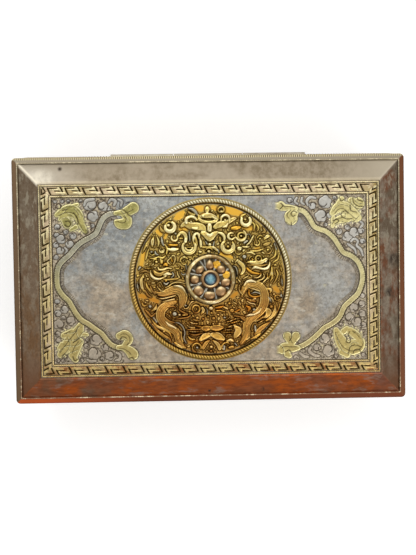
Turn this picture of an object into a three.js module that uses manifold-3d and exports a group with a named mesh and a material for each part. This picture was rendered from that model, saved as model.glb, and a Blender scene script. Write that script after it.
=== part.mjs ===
// A betel box of the Himalayas: a hinged rectangular box of silvered copper with a bevelled lid, a chased
// and gilded panel and a raised medallion set with a turquoise. Millimetres, +Z up, front towards -Y,
// hinge towards +Y, origin in the middle of the underside.

import * as THREE from 'three';
import { mergeVertices } from 'three/addons/utils/BufferGeometryUtils.js';
import Module from 'manifold-3d';

const wasm = await Module();
wasm.setup();

// Lid, seen from above
const LID_LENGTH = 174;
const LID_WIDTH = 109;
const LEDGE_CORNER_RADIUS = 1.8;
const LEDGE_WIDTH = 2.0;
const LEDGE_THICKNESS = 1.0;
const LEDGE_SEAT = 3.4;
const LEDGE_OVERHANG = 0.6;
const BEVEL_RUN = 8.8;
const BEVEL_RISE = 5.5;
const BEVEL_THICKNESS = 0.9;
const FRAME_LIP = 0.6;
const PANEL_REBATE = 3.0;
const PANEL_THICKNESS = 0.8;
const PANEL_GAP = 0.3;

// Box and lid, seen from the side
const BODY_HEIGHT = 44;
const SKIRT_HEIGHT = 8.0;
const WALL_THICKNESS = 1.0;
const WALL_CORNER_RADIUS = 5.0;
const BASE_THICKNESS = 1.2;
const BASE_MARGIN = 1.5;
const COLLAR_THICKNESS = 1.0;
const COLLAR_RISE = 4.0;
const COLLAR_DEPTH = 8.0;
const JOINT_GAP = 0.3;
const SLIDING_GAP = 0.3;
const SEAT_GAP = 0.15;

// Wires that bind the edges
const ROPE_RADIUS = 0.8;
const BEAD_RADIUS = 0.3;

// Hinge
const HINGE_LENGTH = 88;
const MIDDLE_KNUCKLE_LENGTH = 31;
const KNUCKLE_RADIUS = 1.8;
const BORE_RADIUS = 0.9;
const PIN_RADIUS = 0.8;
const KNUCKLE_GAP = 0.3;
const ROPE_TO_KNUCKLE = 0.2;

// Border of the panel
const BORDER_WIDTH = 6.0;
const OUTER_LINES_WIDTH = 0.8;
const INNER_LINES_WIDTH = 1.2;
const LINES_HEIGHT = 0.5;
const FRET_HEIGHT = 0.45;
const FRET_UNITS = [19, 12, 18, 11];
const FRET_DRAWN_PITCH = 7.6;
const FRET_GROOVE_WIDTH = 0.45;
const FRET_GROOVE_DEPTH = 0.25;
const BORDER_GAP = 0.15;

// Medallion
const MEDALLION_TO_BORDER = 0.45;
const RIM_WIDTH = 2.9;
const RIM_HEIGHT = 1.7;
const RIM_GAP = 0.2;
const GROUND_HEIGHT = 0.6;
const GROUND_EDGE = 0.3;
const RELIEF_FOOT_HEIGHT = 0.2;
const RELIEF_DRAWN_RADIUS = 32.65;
const BODY = { crown: 2.5, sides: 4 };
const FORM = { crown: 2.1, sides: 3 };
const SCROLL = { crown: 2.0, sides: 2 };
const LEAF = { crown: 1.7, sides: 2 };
const JEWEL_RADIUS = 1.8;
const FLAMES_EACH_SIDE = 6;
const LOTUS_ROWS = 4;
const CLAWS = 3;
const WHEEL_FLOOR_HEIGHT = 1.0;
const WHEEL_DIAMETER = 22;
const WHEEL_WIRE = 1.8;
const PETAL_COUNT = 8;
const PETAL_LENGTH = 4.1;
const PETAL_WIDTH = 3.9;
const PETAL_HEIGHT = 1.2;
const PETAL_REACH = 4.8;
const COLLET_DIAMETER = 8.3;
const COLLET_WALL = 1.3;
const COLLET_HEIGHT = 1.5;
const STONE_GAP = 0.15;
const STONE_HEIGHT = 2.1;

// Faceting
const ROUND_STEPS = 60;
const WHEEL_STEPS = 40;
const SMALL_ROUND_STEPS = 24;
const PETAL_SIDES = 12;
const SWELL_STEP = 2.4;
const CURL_STEPS = 7;
const CORNER_STEPS = 5;
const KNUCKLE_STEPS = 24;
const SMALLEST_CORNER = 0.3;

// Heights and faces that follow from the sizes above
const wallInset = LEDGE_OVERHANG;
const wallInnerInset = wallInset + WALL_THICKNESS;
const skirtBottom = BODY_HEIGHT + JOINT_GAP;
const ledgeBottom = skirtBottom + SKIRT_HEIGHT;
const ledgeTop = ledgeBottom + LEDGE_THICKNESS;
const frameTop = ledgeTop + BEVEL_RISE;
const panelBottom = frameTop - PANEL_THICKNESS;
const bevelFootInset = LEDGE_WIDTH + 2 * BEAD_RADIUS;
const bevelTopInset = bevelFootInset + BEVEL_RUN;
const openingInset = bevelTopInset + FRAME_LIP;
const panelInset = openingInset + PANEL_GAP;
const rearWallFace = LID_WIDTH / 2 - wallInset;
const ropeOffset = SEAT_GAP + ROPE_RADIUS;
const ropeDistance = KNUCKLE_RADIUS + ROPE_TO_KNUCKLE + ROPE_RADIUS;
const hingeY = rearWallFace + ropeOffset;
const medallionRadius = LID_WIDTH / 2 - panelInset - BORDER_WIDTH - MEDALLION_TO_BORDER;
const discRadius = medallionRadius - RIM_WIDTH - RIM_GAP;
const wheelFloor = frameTop + WHEEL_FLOOR_HEIGHT;
const colletInnerRadius = COLLET_DIAMETER / 2 - COLLET_WALL;

// Finishes
const finishes = {
  silvered: { color: 0x8f8a80, roughness: 0.42, metalness: 0.9 },
  field: { color: 0x9c9c9b, roughness: 0.38, metalness: 0.9 },
  gilt: { color: 0xb9a24c, roughness: 0.35, metalness: 0.95 },
  copper: { color: 0x8c5a38, roughness: 0.4, metalness: 0.9 },
  redCopper: { color: 0xa27a5a, roughness: 0.35, metalness: 0.9 },
  turquoise: { color: 0x4f95b4, roughness: 0.35, metalness: 0.0 },
};

const box = new THREE.Group();
box.name = 'box';
const lid = new THREE.Group();
lid.name = 'lid';

function addPiece(group, name, geometry, finish) {
  const mesh = new THREE.Mesh(geometry, new THREE.MeshStandardMaterial(finishes[finish]));
  mesh.name = name;
  group.add(mesh);
  return mesh;
}

// Closed meshes from lists of points and triangles, turned so that their faces point out
function signedVolume(points, triangles) {
  const normal = new THREE.Vector3();
  return triangles.reduce((sum, [a, b, c]) => {
    normal.crossVectors(points[b], points[c]);
    return sum + points[a].dot(normal);
  }, 0);
}

function closedGeometry(points, triangles) {
  const outward = signedVolume(points, triangles) > 0;
  const index = triangles.flatMap(([a, b, c]) => (outward ? [a, b, c] : [a, c, b]));
  const geometry = new THREE.BufferGeometry().setFromPoints(points);
  geometry.setIndex(index);
  geometry.computeVertexNormals();
  return geometry;
}

function toSolid(geometry) {
  const bare = geometry.clone();
  bare.deleteAttribute('normal');
  bare.deleteAttribute('uv');
  const merged = mergeVertices(bare);
  return new wasm.Manifold(new wasm.Mesh({
    numProp: 3,
    vertProperties: new Float32Array(merged.attributes.position.array),
    triVerts: new Uint32Array(merged.index.array),
  }));
}

function toGeometry(solid) {
  const mesh = solid.getMesh();
  const geometry = new THREE.BufferGeometry();
  geometry.setAttribute('position', new THREE.BufferAttribute(mesh.vertProperties, mesh.numProp));
  geometry.setIndex(new THREE.BufferAttribute(mesh.triVerts, 1));
  geometry.computeVertexNormals();
  return geometry;
}

// One loop of points around a rounded rectangle, drawn in from the lid's plan by an inset
function roundedLoop(inset, radius, z) {
  const corner = Math.max(radius, SMALLEST_CORNER);
  const x = LID_LENGTH / 2 - inset - corner;
  const y = LID_WIDTH / 2 - inset - corner;
  const loop = [];
  [[x, y], [-x, y], [-x, -y], [x, -y]].forEach(([cx, cy], quarter) => {
    for (let step = 0; step <= CORNER_STEPS; step += 1) {
      const angle = (quarter + step / CORNER_STEPS) * Math.PI / 2;
      loop.push(new THREE.Vector3(cx + corner * Math.cos(angle), cy + corner * Math.sin(angle), z));
    }
  });
  return loop;
}

// A moulding: a closed section of [inset, height] points carried round the rectangle, with mitred flats.
// outerRadius is the corner radius at an inset of outerInset, and it shrinks as the section goes in.
function moulding(section, outerRadius, outerInset = 0) {
  const loops = section.map(([inset, z]) => roundedLoop(inset, outerRadius - (inset - outerInset), z));
  const points = loops.flat();
  const around = loops[0].length;
  const triangles = [];
  loops.forEach((_, row) => {
    const next = (row + 1) % loops.length;
    for (let i = 0; i < around; i += 1) {
      const j = (i + 1) % around;
      const [a, b, c, d] = [row * around + i, row * around + j, next * around + j, next * around + i];
      triangles.push([a, b, c], [a, c, d]);
    }
  });
  return closedGeometry(points, triangles);
}

// A flat plate with the same rounded plan
function plate(inset, radius, bottom, top) {
  const shape = new THREE.Shape(roundedLoop(inset, radius, 0).map((p) => new THREE.Vector2(p.x, p.y)));
  return new THREE.ExtrudeGeometry(shape, { depth: top - bottom, bevelEnabled: false })
    .translate(0, 0, bottom);
}

// A round section for a wire, flattened where it lies on its seat
function wireSection(centreInset, centreZ, radius, sides = 8) {
  return Array.from({ length: sides }, (_, i) => {
    const angle = (i + 0.5) * 2 * Math.PI / sides;
    return [centreInset + radius * Math.cos(angle), centreZ + radius * Math.sin(angle)];
  });
}

// A ring or cap turned about the medallion's axis from a section of [radius, height] points
function turned(section, closed, steps = ROUND_STEPS) {
  const ends = closed ? [...section, section[0]] : section;
  return new THREE.LatheGeometry(ends.map(([r, z]) => new THREE.Vector2(r, z)), steps)
    .rotateX(Math.PI / 2);
}

// A low cushion of metal raised over an outline, with rings of [share of the outline, height]
function raised(outline, rings) {
  const centre = outline.reduce((sum, p) => sum.add(p), new THREE.Vector2()).divideScalar(outline.length);
  const count = outline.length;
  const points = rings.flatMap(([share, z]) => outline.map((p) => {
    const q = p.clone().sub(centre).multiplyScalar(share).add(centre);
    return new THREE.Vector3(q.x, q.y, z);
  }));
  const triangles = [];
  for (let row = 0; row + 1 < rings.length; row += 1) {
    for (let i = 0; i < count; i += 1) {
      const j = (i + 1) % count;
      const [a, b] = [row * count + i, row * count + j];
      triangles.push([a, b, b + count], [a, b + count, a + count]);
    }
  }
  const bottom = points.push(new THREE.Vector3(centre.x, centre.y, rings[0][1])) - 1;
  const top = points.push(new THREE.Vector3(centre.x, centre.y, rings[rings.length - 1][1])) - 1;
  const last = (rings.length - 1) * count;
  for (let i = 0; i < count; i += 1) {
    const j = (i + 1) % count;
    triangles.push([bottom, j, i], [top, last + i, last + j]);
  }
  return closedGeometry(points, triangles);
}

// The round bar that clears the hinge barrel out of the edges of both walls
function barrelClearance() {
  const bar = new THREE.CylinderGeometry(
    KNUCKLE_RADIUS + KNUCKLE_GAP,
    KNUCKLE_RADIUS + KNUCKLE_GAP,
    HINGE_LENGTH + 2 * KNUCKLE_GAP,
    KNUCKLE_STEPS,
  );
  return toSolid(bar.rotateZ(Math.PI / 2).translate(0, hingeY, BODY_HEIGHT));
}

// A band of sheet standing on edge, with the hinge's clearance cut from its rear side
function hingedBand(bottom, top) {
  const band = moulding([
    [wallInset, bottom],
    [wallInset, top],
    [wallInnerInset, top],
    [wallInnerInset, bottom],
  ], WALL_CORNER_RADIUS, wallInset);
  return toGeometry(toSolid(band).subtract(barrelClearance()));
}

// The twisted wire that binds an edge, as a plain round wire
function edgeRope(centreZ) {
  const inset = wallInset - ropeOffset;
  return moulding(wireSection(inset, centreZ, ROPE_RADIUS), WALL_CORNER_RADIUS + ropeOffset, inset);
}

// Box: base plate, walls, foot wire, mouth wire and the collar that the lid slides over
addPiece(box, 'base_plate', plate(
  wallInset - BASE_MARGIN,
  WALL_CORNER_RADIUS + BASE_MARGIN,
  0,
  BASE_THICKNESS,
), 'copper');
addPiece(box, 'body_wall', hingedBand(BASE_THICKNESS, BODY_HEIGHT), 'silvered');
addPiece(box, 'foot_rope', edgeRope(BASE_THICKNESS + SEAT_GAP + ROPE_RADIUS), 'silvered');
addPiece(box, 'body_mouth_rope', edgeRope(BODY_HEIGHT - ropeDistance), 'silvered');
addPiece(box, 'inner_collar', moulding([
  [wallInnerInset + SLIDING_GAP, BODY_HEIGHT - COLLAR_DEPTH],
  [wallInnerInset + SLIDING_GAP, BODY_HEIGHT + COLLAR_RISE],
  [wallInnerInset + SLIDING_GAP + COLLAR_THICKNESS, BODY_HEIGHT + COLLAR_RISE],
  [wallInnerInset + SLIDING_GAP + COLLAR_THICKNESS, BODY_HEIGHT - COLLAR_DEPTH],
], WALL_CORNER_RADIUS - WALL_THICKNESS - SLIDING_GAP, wallInnerInset + SLIDING_GAP), 'copper');

// Lid: skirt, wire, ledge, beaded wire and the sloping frame with its rebate for the panel
addPiece(lid, 'lid_skirt', hingedBand(skirtBottom, ledgeBottom), 'silvered');
addPiece(lid, 'lid_rim_rope', edgeRope(BODY_HEIGHT + ropeDistance), 'silvered');
addPiece(lid, 'lid_ledge', moulding([
  [0, ledgeBottom],
  [0, ledgeTop],
  [bevelFootInset + LEDGE_SEAT, ledgeTop],
  [bevelFootInset + LEDGE_SEAT, ledgeBottom],
], LEDGE_CORNER_RADIUS), 'silvered');
addPiece(lid, 'ledge_bead_wire', moulding(
  wireSection(LEDGE_WIDTH + BEAD_RADIUS, ledgeTop + BEAD_RADIUS * Math.cos(Math.PI / 8), BEAD_RADIUS),
  SMALLEST_CORNER,
  bevelFootInset,
), 'silvered');

const slopeLength = Math.hypot(BEVEL_RUN, BEVEL_RISE);
const sheetAcross = BEVEL_THICKNESS * slopeLength / BEVEL_RISE;
const sheetDown = BEVEL_THICKNESS * slopeLength / BEVEL_RUN;
addPiece(lid, 'lid_bevel', moulding([
  [bevelFootInset + JOINT_GAP / 2, ledgeTop],
  [bevelTopInset, frameTop],
  [openingInset, frameTop],
  [openingInset, panelBottom],
  [openingInset + PANEL_REBATE, panelBottom],
  [openingInset + PANEL_REBATE, panelBottom - BEVEL_THICKNESS],
  [
    bevelTopInset + (frameTop - sheetDown - panelBottom + BEVEL_THICKNESS) / BEVEL_RISE,
    panelBottom - BEVEL_THICKNESS,
  ],
  [bevelFootInset + JOINT_GAP / 2 + sheetAcross, ledgeTop],
], SMALLEST_CORNER), 'silvered');

// Panel and its border lines
addPiece(lid, 'lid_panel', plate(panelInset, SMALLEST_CORNER, panelBottom, frameTop), 'field');

function doubleLine(outerInset, width) {
  const half = width / 2;
  const ridge = width * 0.18;
  const valley = frameTop + LINES_HEIGHT * 0.45;
  return moulding([
    [outerInset, frameTop],
    [outerInset + ridge * 0.5, frameTop + LINES_HEIGHT],
    [outerInset + half - ridge, frameTop + LINES_HEIGHT],
    [outerInset + half, valley],
    [outerInset + half + ridge, frameTop + LINES_HEIGHT],
    [outerInset + width - ridge * 0.5, frameTop + LINES_HEIGHT],
    [outerInset + width, frameTop],
  ], SMALLEST_CORNER);
}

const outerLinesInset = panelInset + BORDER_GAP;
const fretInset = outerLinesInset + OUTER_LINES_WIDTH + BORDER_GAP;
const innerLinesInset = panelInset + BORDER_WIDTH - INNER_LINES_WIDTH;
addPiece(lid, 'border_outer_lines', doubleLine(outerLinesInset, OUTER_LINES_WIDTH), 'gilt');
const fretWidth = innerLinesInset - BORDER_GAP - fretInset;
const fretTop = frameTop + FRET_HEIGHT;

// The outline of a stroke of even width along a bent line
function strokeOutline(line, width) {
  const edge = (sign) => line.map((point, i) => {
    const before = i > 0 ? point.clone().sub(line[i - 1]).normalize() : null;
    const after = i + 1 < line.length ? line[i + 1].clone().sub(point).normalize() : null;
    const along = (before ?? after).clone().add(after ?? before).normalize();
    const reach = sign * width / 2 / along.dot(before ?? after);
    return new THREE.Vector2(point.x - along.y * reach, point.y + along.x * reach);
  });
  return new THREE.Shape([...edge(1), ...edge(-1).reverse()]);
}

// The key fret: along each side a row of slanting hooks that lock into each other. The two hooks of a unit are
// drawn as [along from its middle, in from the band's outer edge], for the pitch of the longest side.
const FRET_HOOKS = [
  [[-4.0, 1.65], [-0.7, 1.8], [-1.8, 0.4]],
  [[4.2, 0.6], [0.5, 0.6], [1.6, 3.15]],
];

function fretGrooves() {
  return FRET_UNITS.flatMap((count, side) => {
    const [length, width] = side % 2 ? [LID_WIDTH, LID_LENGTH] : [LID_LENGTH, LID_WIDTH];
    const pitch = (length - 2 * (fretInset + fretWidth)) / count;
    const outerEdge = width / 2 - fretInset;
    const hooks = FRET_HOOKS.map((line) => toSolid(new THREE.ExtrudeGeometry(
      strokeOutline(line.map(([along, inset]) => (
        new THREE.Vector2(along * pitch / FRET_DRAWN_PITCH, outerEdge - inset)
      )), FRET_GROOVE_WIDTH),
      { depth: FRET_GROOVE_DEPTH * 2, bevelEnabled: false },
    )));
    return Array.from({ length: count }, (_, i) => hooks.map((hook) => hook
      .translate([(i - (count - 1) / 2) * pitch, 0, fretTop - FRET_GROOVE_DEPTH])
      .rotate([0, 0, -90 * side]))).flat();
  });
}

const fretBand = toSolid(moulding([
  [fretInset, frameTop],
  [fretInset, fretTop],
  [fretInset + fretWidth, fretTop],
  [fretInset + fretWidth, frameTop],
], SMALLEST_CORNER));
addPiece(lid, 'fret_border', toGeometry(fretBand.subtract(wasm.Manifold.union(fretGrooves()))), 'gilt');
addPiece(lid, 'border_inner_lines', doubleLine(innerLinesInset, INNER_LINES_WIDTH), 'gilt');

// Medallion: a repousse roundel. Two dragons face the wheel, under a jewel on a throne of clouds and over a
// lotus. Every form is an arched section carried along a smooth line, and it swells and tapers with the line:
// a point of a line is [x, y, half width] from the middle of the wheel.
function swelling({ crown, sides }, line, steps) {
  const curve = new THREE.CatmullRomCurve3(line.map((point) => new THREE.Vector3(...point)));
  const count = steps ?? Math.max(3, Math.round(curve.getLength() / SWELL_STEP));
  const widest = Math.max(...line.map((point) => point[2]));
  const points = [];
  for (let i = 0; i <= count; i += 1) {
    const at = curve.getPointAt(i / count);
    const tangent = curve.getTangentAt(i / count);
    const across = new THREE.Vector2(-tangent.y, tangent.x).normalize();
    const rise = (crown - RELIEF_FOOT_HEIGHT) * Math.sqrt(at.z / widest);
    for (let k = 0; k <= sides; k += 1) {
      const angle = Math.PI * k / sides;
      const out = at.z * Math.cos(angle);
      points.push(new THREE.Vector3(
        at.x + across.x * out,
        at.y + across.y * out,
        frameTop + RELIEF_FOOT_HEIGHT + rise * Math.sin(angle),
      ));
    }
  }
  const ring = sides + 1;
  const triangles = [];
  for (let k = 0; k < ring; k += 1) {
    const next = (k + 1) % ring;
    for (let i = 0; i < count; i += 1) {
      const [a, b] = [i * ring + k, i * ring + next];
      triangles.push([a, b, b + ring], [a, b + ring, a + ring]);
    }
    const end = count * ring;
    if (k > 0 && k < ring - 1) triangles.push([0, next, k], [end, end + k, end + next]);
  }
  return toSolid(closedGeometry(points, triangles));
}

// A cloud scroll: a spiral that opens from its eye to its radius
function curl(x, y, radius, turns, startDegrees, half, hand = 1) {
  const line = Array.from({ length: CURL_STEPS + 1 }, (_, i) => {
    const share = i / CURL_STEPS;
    const angle = THREE.MathUtils.degToRad(startDegrees) + hand * 2 * Math.PI * turns * share;
    const reach = radius * (0.2 + 0.8 * share);
    return [x + reach * Math.cos(angle), y + reach * Math.sin(angle), half * (0.6 + 0.4 * share)];
  });
  return swelling(SCROLL, line, CURL_STEPS);
}

function aroundMedallion(radius, degrees, half) {
  const angle = THREE.MathUtils.degToRad(degrees);
  return [radius * Math.cos(angle), radius * Math.sin(angle), half];
}

// Claws spread from a paw, as [x, y] and the direction of the first and the last claw
function claws(x, y, from, to) {
  return Array.from({ length: CLAWS }, (_, i) => {
    const angle = THREE.MathUtils.degToRad(from + (to - from) * i / (CLAWS - 1));
    const step = (length, half) => [x + length * Math.cos(angle), y + length * Math.sin(angle), half];
    return swelling(LEAF, [step(0, 0.7), step(2.0, 0.6), step(4.0, 0.25)]);
  });
}

const leftDragon = [
  swelling(BODY, [[-24.3, -5.3, 0.6], [-19.4, -6, 1.5], [-14.4, -4.2, 2], [-12, -8, 1.6], [-13.8, -12, 0.6]]),
  swelling(BODY, [
    [-14.8, -8.2, 1.2], [-18.9, -9.9, 1.9], [-22.4, -15, 2],
    [-18.8, -20.2, 2], [-14.4, -24, 1.8], [-12.6, -29, 0.8],
  ]),
  swelling(FORM, [[-26.2, 4.4, 0.4], [-24.6, 1, 1], [-20.2, 1.2, 0.9], [-17, 3.4, 0.4]]),
  swelling(FORM, [[-18.5, 11, 0.5], [-20.4, 8.8, 0.9], [-22.3, 5.8, 0.9], [-20.6, 4, 0.5]]),
  swelling(LEAF, [[-27.9, 10.6, 0.3], [-26.2, 8, 0.7], [-23.6, 8.4, 0.4]]),
  swelling(LEAF, [[-23.5, 14.6, 0.4], [-24, 16.8, 0.9], [-23.3, 19.2, 0.3]]),
  swelling(LEAF, [[-20.8, 14.9, 0.4], [-21.2, 17, 0.9], [-20.2, 19.6, 0.3]]),
  curl(-20.7, 12.6, 1.2, 1.1, 20, 0.65),
  curl(-25.4, 12.4, 1.1, 1.1, 200, 0.6, -1),
  curl(-22, -1.8, 1.7, 0.9, 60, 0.7),
  ...claws(-15.2, -13.6, 190, 262),
];

const rightDragon = [
  swelling(BODY, [
    [12.4, -7.8, 0.5], [14.6, -2.2, 1.6], [21.2, -3, 1.9], [23.2, -9.6, 2], [19.2, -15.2, 1.8],
    [14.9, -20.6, 1.7], [14.9, -24.2, 1.5], [12.8, -28.4, 0.8],
  ]),
  swelling(FORM, [[16.4, -5.2, 0.6], [19.4, -6.4, 1.1], [18.4, -9.2, 0.5]]),
  swelling(FORM, [[16.2, 8.4, 0.5], [17.6, 11, 0.9], [21.4, 12.2, 0.9], [24.8, 9.6, 0.6]]),
  swelling(FORM, [[16.4, 6, 0.6], [19.6, 5.9, 0.9], [23.2, 6.6, 0.5]]),
  swelling(FORM, [[18.2, 3.9, 0.4], [22.4, 3.5, 1], [26.2, 5.2, 0.9], [26.9, 8.4, 0.4]]),
  swelling(LEAF, [[15, 0.8, 0.4], [18.8, 1.6, 0.8], [22.2, 0.6, 0.4]]),
  swelling(LEAF, [[17.4, 14.2, 0.4], [17.9, 16.6, 0.9], [17.2, 19.2, 0.3]]),
  swelling(LEAF, [[20.6, 14.4, 0.4], [21.6, 16.4, 0.9], [21.4, 18.8, 0.3]]),
  curl(21, 9, 1.5, 1.1, 90, 0.6),
  ...claws(13.2, -11.8, 170, 235),
];

const throneHalf = [
  swelling(BODY, [[-12.4, 22.8, 0.4], [-8, 23.2, 1.6], [-2.6, 20.6, 1.8], [0.4, 19.6, 1.7]]),
  swelling(FORM, [[-10.9, 24.8, 0.6], [-9.6, 27.2, 1.1], [-7.2, 26.6, 1], [-7.4, 24.8, 0.6]]),
  swelling(FORM, [
    [-13.4, 18.4, 0.7], [-11.4, 18.2, 1], [-11.9, 14.9, 1.2],
    [-9.8, 12.6, 1.2], [-7.2, 14.6, 1.1], [-6.4, 18.2, 0.8],
  ]),
  swelling(FORM, [[-4.2, 17.2, 0.6], [-4.2, 14.8, 0.9], [-2.2, 13.6, 0.6]]),
  swelling(FORM, [[-18.6, 13, 0.9], [-13.9, 13, 0.9]]),
  curl(-17.2, 23.3, 2.4, 1.4, 330, 1),
  curl(-16.2, 18.2, 1.4, 1, 100, 0.75),
  curl(-9.6, 15.4, 0.9, 0.8, 40, 0.5),
  curl(-6.8, 29.6, 1.2, 1.1, -60, 0.65),
  curl(-6.4, -13.4, 1.5, 1.1, 100, 0.65),
  curl(-7, -29.2, 1.5, 1, 60, 0.65),
];

// Lotus under the wheel: rows of leaves that lie over each other like a fan
const lotusHalf = Array.from({ length: LOTUS_ROWS }, (_, row) => {
  const y = -18.2 - 2.3 * row;
  return swelling(FORM, [[-9.8, y - 0.4, 0.4], [-5.8, y + 0.1, 1.05], [-0.9, y, 0.7]]);
});

// Flames of the dragons' manes, which lick along the rim
const flamesLeft = Array.from({ length: FLAMES_EACH_SIDE }, (_, i) => {
  const start = 148 + 13.5 * i;
  return swelling(LEAF, [
    aroundMedallion(31.4, start, 0.35),
    aroundMedallion(30.6, start + 6, 1.0),
    aroundMedallion(28.6, start + 12, 0.3),
  ]);
});

const jewel = [
  swelling(FORM, [[-5, 28.4, 0.4], [-3.4, 25.8, 1.2], [3.4, 25.8, 1.2], [5, 28.4, 0.4]]),
  toSolid(turned([
    [0, frameTop + RELIEF_FOOT_HEIGHT],
    [JEWEL_RADIUS, frameTop + RELIEF_FOOT_HEIGHT],
    [JEWEL_RADIUS * 0.8, frameTop + FORM.crown * 0.8],
    [JEWEL_RADIUS * 0.4, frameTop + FORM.crown],
    [0, frameTop + FORM.crown * 1.05],
  ], false, 16).translate(0, 28.8, 0)),
  swelling(FORM, [[-1.9, 16.8, 0.8], [1.9, 16.8, 0.8]]),
  swelling(FORM, [[-1.6, 14.6, 0.7], [1.6, 14.6, 0.7]]),
];

const twoSided = [...throneHalf, ...lotusHalf, ...flamesLeft];
const ground = toSolid(turned([
  [0, frameTop],
  [discRadius, frameTop],
  [discRadius, frameTop + GROUND_HEIGHT * 0.6],
  [discRadius - GROUND_EDGE, frameTop + GROUND_HEIGHT],
  [WHEEL_DIAMETER / 2 + GROUND_EDGE, frameTop + GROUND_HEIGHT],
  [WHEEL_DIAMETER / 2, wheelFloor],
  [0, wheelFloor],
], false));
const relief = wasm.Manifold.union([
  ...leftDragon,
  ...rightDragon,
  ...jewel,
  ...twoSided,
  ...twoSided.map((form) => form.mirror([1, 0, 0])),
]);
const reliefScale = discRadius / RELIEF_DRAWN_RADIUS;
addPiece(lid, 'medallion_disc', toGeometry(ground.add(relief.scale([reliefScale, reliefScale, 1]))), 'gilt');

const rimMiddle = medallionRadius - RIM_WIDTH / 2;
addPiece(lid, 'medallion_rim', turned([
  [medallionRadius - RIM_WIDTH, frameTop],
  [medallionRadius, frameTop],
  [medallionRadius, frameTop + RIM_HEIGHT * 0.3],
  [medallionRadius - 0.35, frameTop + RIM_HEIGHT * 0.4],
  [rimMiddle + 0.75, frameTop + RIM_HEIGHT * 0.88],
  [rimMiddle, frameTop + RIM_HEIGHT],
  [rimMiddle - 0.75, frameTop + RIM_HEIGHT * 0.88],
  [medallionRadius - RIM_WIDTH, frameTop + RIM_HEIGHT * 0.35],
], true), 'gilt');

// Wheel in the middle: ring, eight petals, collet and turquoise
const ringMiddle = (WHEEL_DIAMETER - WHEEL_WIRE) / 2;
addPiece(lid, 'wheel_ring', turned([
  [ringMiddle - WHEEL_WIRE / 2, wheelFloor],
  [ringMiddle + WHEEL_WIRE / 2, wheelFloor],
  [ringMiddle + WHEEL_WIRE / 2, wheelFloor + WHEEL_WIRE * 0.55],
  [ringMiddle + WHEEL_WIRE * 0.3, wheelFloor + WHEEL_WIRE * 0.9],
  [ringMiddle, wheelFloor + WHEEL_WIRE],
  [ringMiddle - WHEEL_WIRE * 0.3, wheelFloor + WHEEL_WIRE * 0.9],
  [ringMiddle - WHEEL_WIRE / 2, wheelFloor + WHEEL_WIRE * 0.55],
], true, WHEEL_STEPS), 'redCopper');

function petal(direction) {
  const outline = Array.from({ length: PETAL_SIDES }, (_, i) => {
    const angle = i * 2 * Math.PI / PETAL_SIDES;
    const along = PETAL_LENGTH / 2 * Math.cos(angle);
    const taper = 1 - 0.12 * Math.cos(angle);
    return new THREE.Vector2(
      PETAL_REACH + PETAL_LENGTH / 2 + along,
      PETAL_WIDTH / 2 * Math.sin(angle) * taper,
    ).rotateAround(new THREE.Vector2(), direction);
  });
  return raised(outline, [
    [1, wheelFloor],
    [0.95, wheelFloor + PETAL_HEIGHT * 0.5],
    [0.72, wheelFloor + PETAL_HEIGHT * 0.88],
    [0.35, wheelFloor + PETAL_HEIGHT],
  ]);
}

for (let i = 0; i < PETAL_COUNT; i += 1) {
  addPiece(lid, `wheel_petal_${i + 1}`, petal(Math.PI / 2 - i * 2 * Math.PI / PETAL_COUNT), 'redCopper');
}

addPiece(lid, 'stone_collet', turned([
  [colletInnerRadius, wheelFloor],
  [COLLET_DIAMETER / 2, wheelFloor],
  [COLLET_DIAMETER / 2, wheelFloor + COLLET_HEIGHT * 0.6],
  [COLLET_DIAMETER / 2 - COLLET_WALL * 0.3, wheelFloor + COLLET_HEIGHT * 0.92],
  [COLLET_DIAMETER / 2 - COLLET_WALL * 0.6, wheelFloor + COLLET_HEIGHT],
  [colletInnerRadius, wheelFloor + COLLET_HEIGHT * 0.85],
], true, SMALL_ROUND_STEPS), 'redCopper');

const stoneRadius = colletInnerRadius - STONE_GAP;
addPiece(lid, 'turquoise', turned([
  [0, wheelFloor],
  [stoneRadius, wheelFloor],
  [stoneRadius, wheelFloor + STONE_HEIGHT * 0.6],
  [stoneRadius * 0.85, wheelFloor + STONE_HEIGHT * 0.84],
  [stoneRadius * 0.5, wheelFloor + STONE_HEIGHT * 0.96],
  [0, wheelFloor + STONE_HEIGHT],
], false, SMALL_ROUND_STEPS), 'turquoise');

// Hinge: two knuckles on the box, one on the lid, and the pin through all three
function knuckle(from, to) {
  const section = new THREE.Shape().absarc(0, 0, KNUCKLE_RADIUS, 0, 2 * Math.PI);
  section.holes.push(new THREE.Path().absarc(0, 0, BORE_RADIUS, 0, 2 * Math.PI));
  return new THREE.ExtrudeGeometry(section, {
    depth: to - from,
    bevelEnabled: false,
    curveSegments: KNUCKLE_STEPS / 2,
  }).rotateX(Math.PI / 2).rotateZ(Math.PI / 2).translate(from, hingeY, BODY_HEIGHT);
}

const middleEnd = MIDDLE_KNUCKLE_LENGTH / 2;
const hingeEnd = HINGE_LENGTH / 2;
addPiece(box, 'hinge_knuckle_left', knuckle(-hingeEnd, -middleEnd - KNUCKLE_GAP), 'silvered');
addPiece(box, 'hinge_knuckle_right', knuckle(middleEnd + KNUCKLE_GAP, hingeEnd), 'silvered');
addPiece(lid, 'hinge_knuckle_middle', knuckle(-middleEnd, middleEnd), 'silvered');
addPiece(box, 'hinge_pin', new THREE.CylinderGeometry(PIN_RADIUS, PIN_RADIUS, HINGE_LENGTH, KNUCKLE_STEPS / 2)
  .rotateZ(Math.PI / 2)
  .translate(0, hingeY, BODY_HEIGHT), 'silvered');

const betelBox = new THREE.Group();
betelBox.name = 'betel_box';
betelBox.add(box, lid);

export default betelBox;
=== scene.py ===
import math

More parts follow.
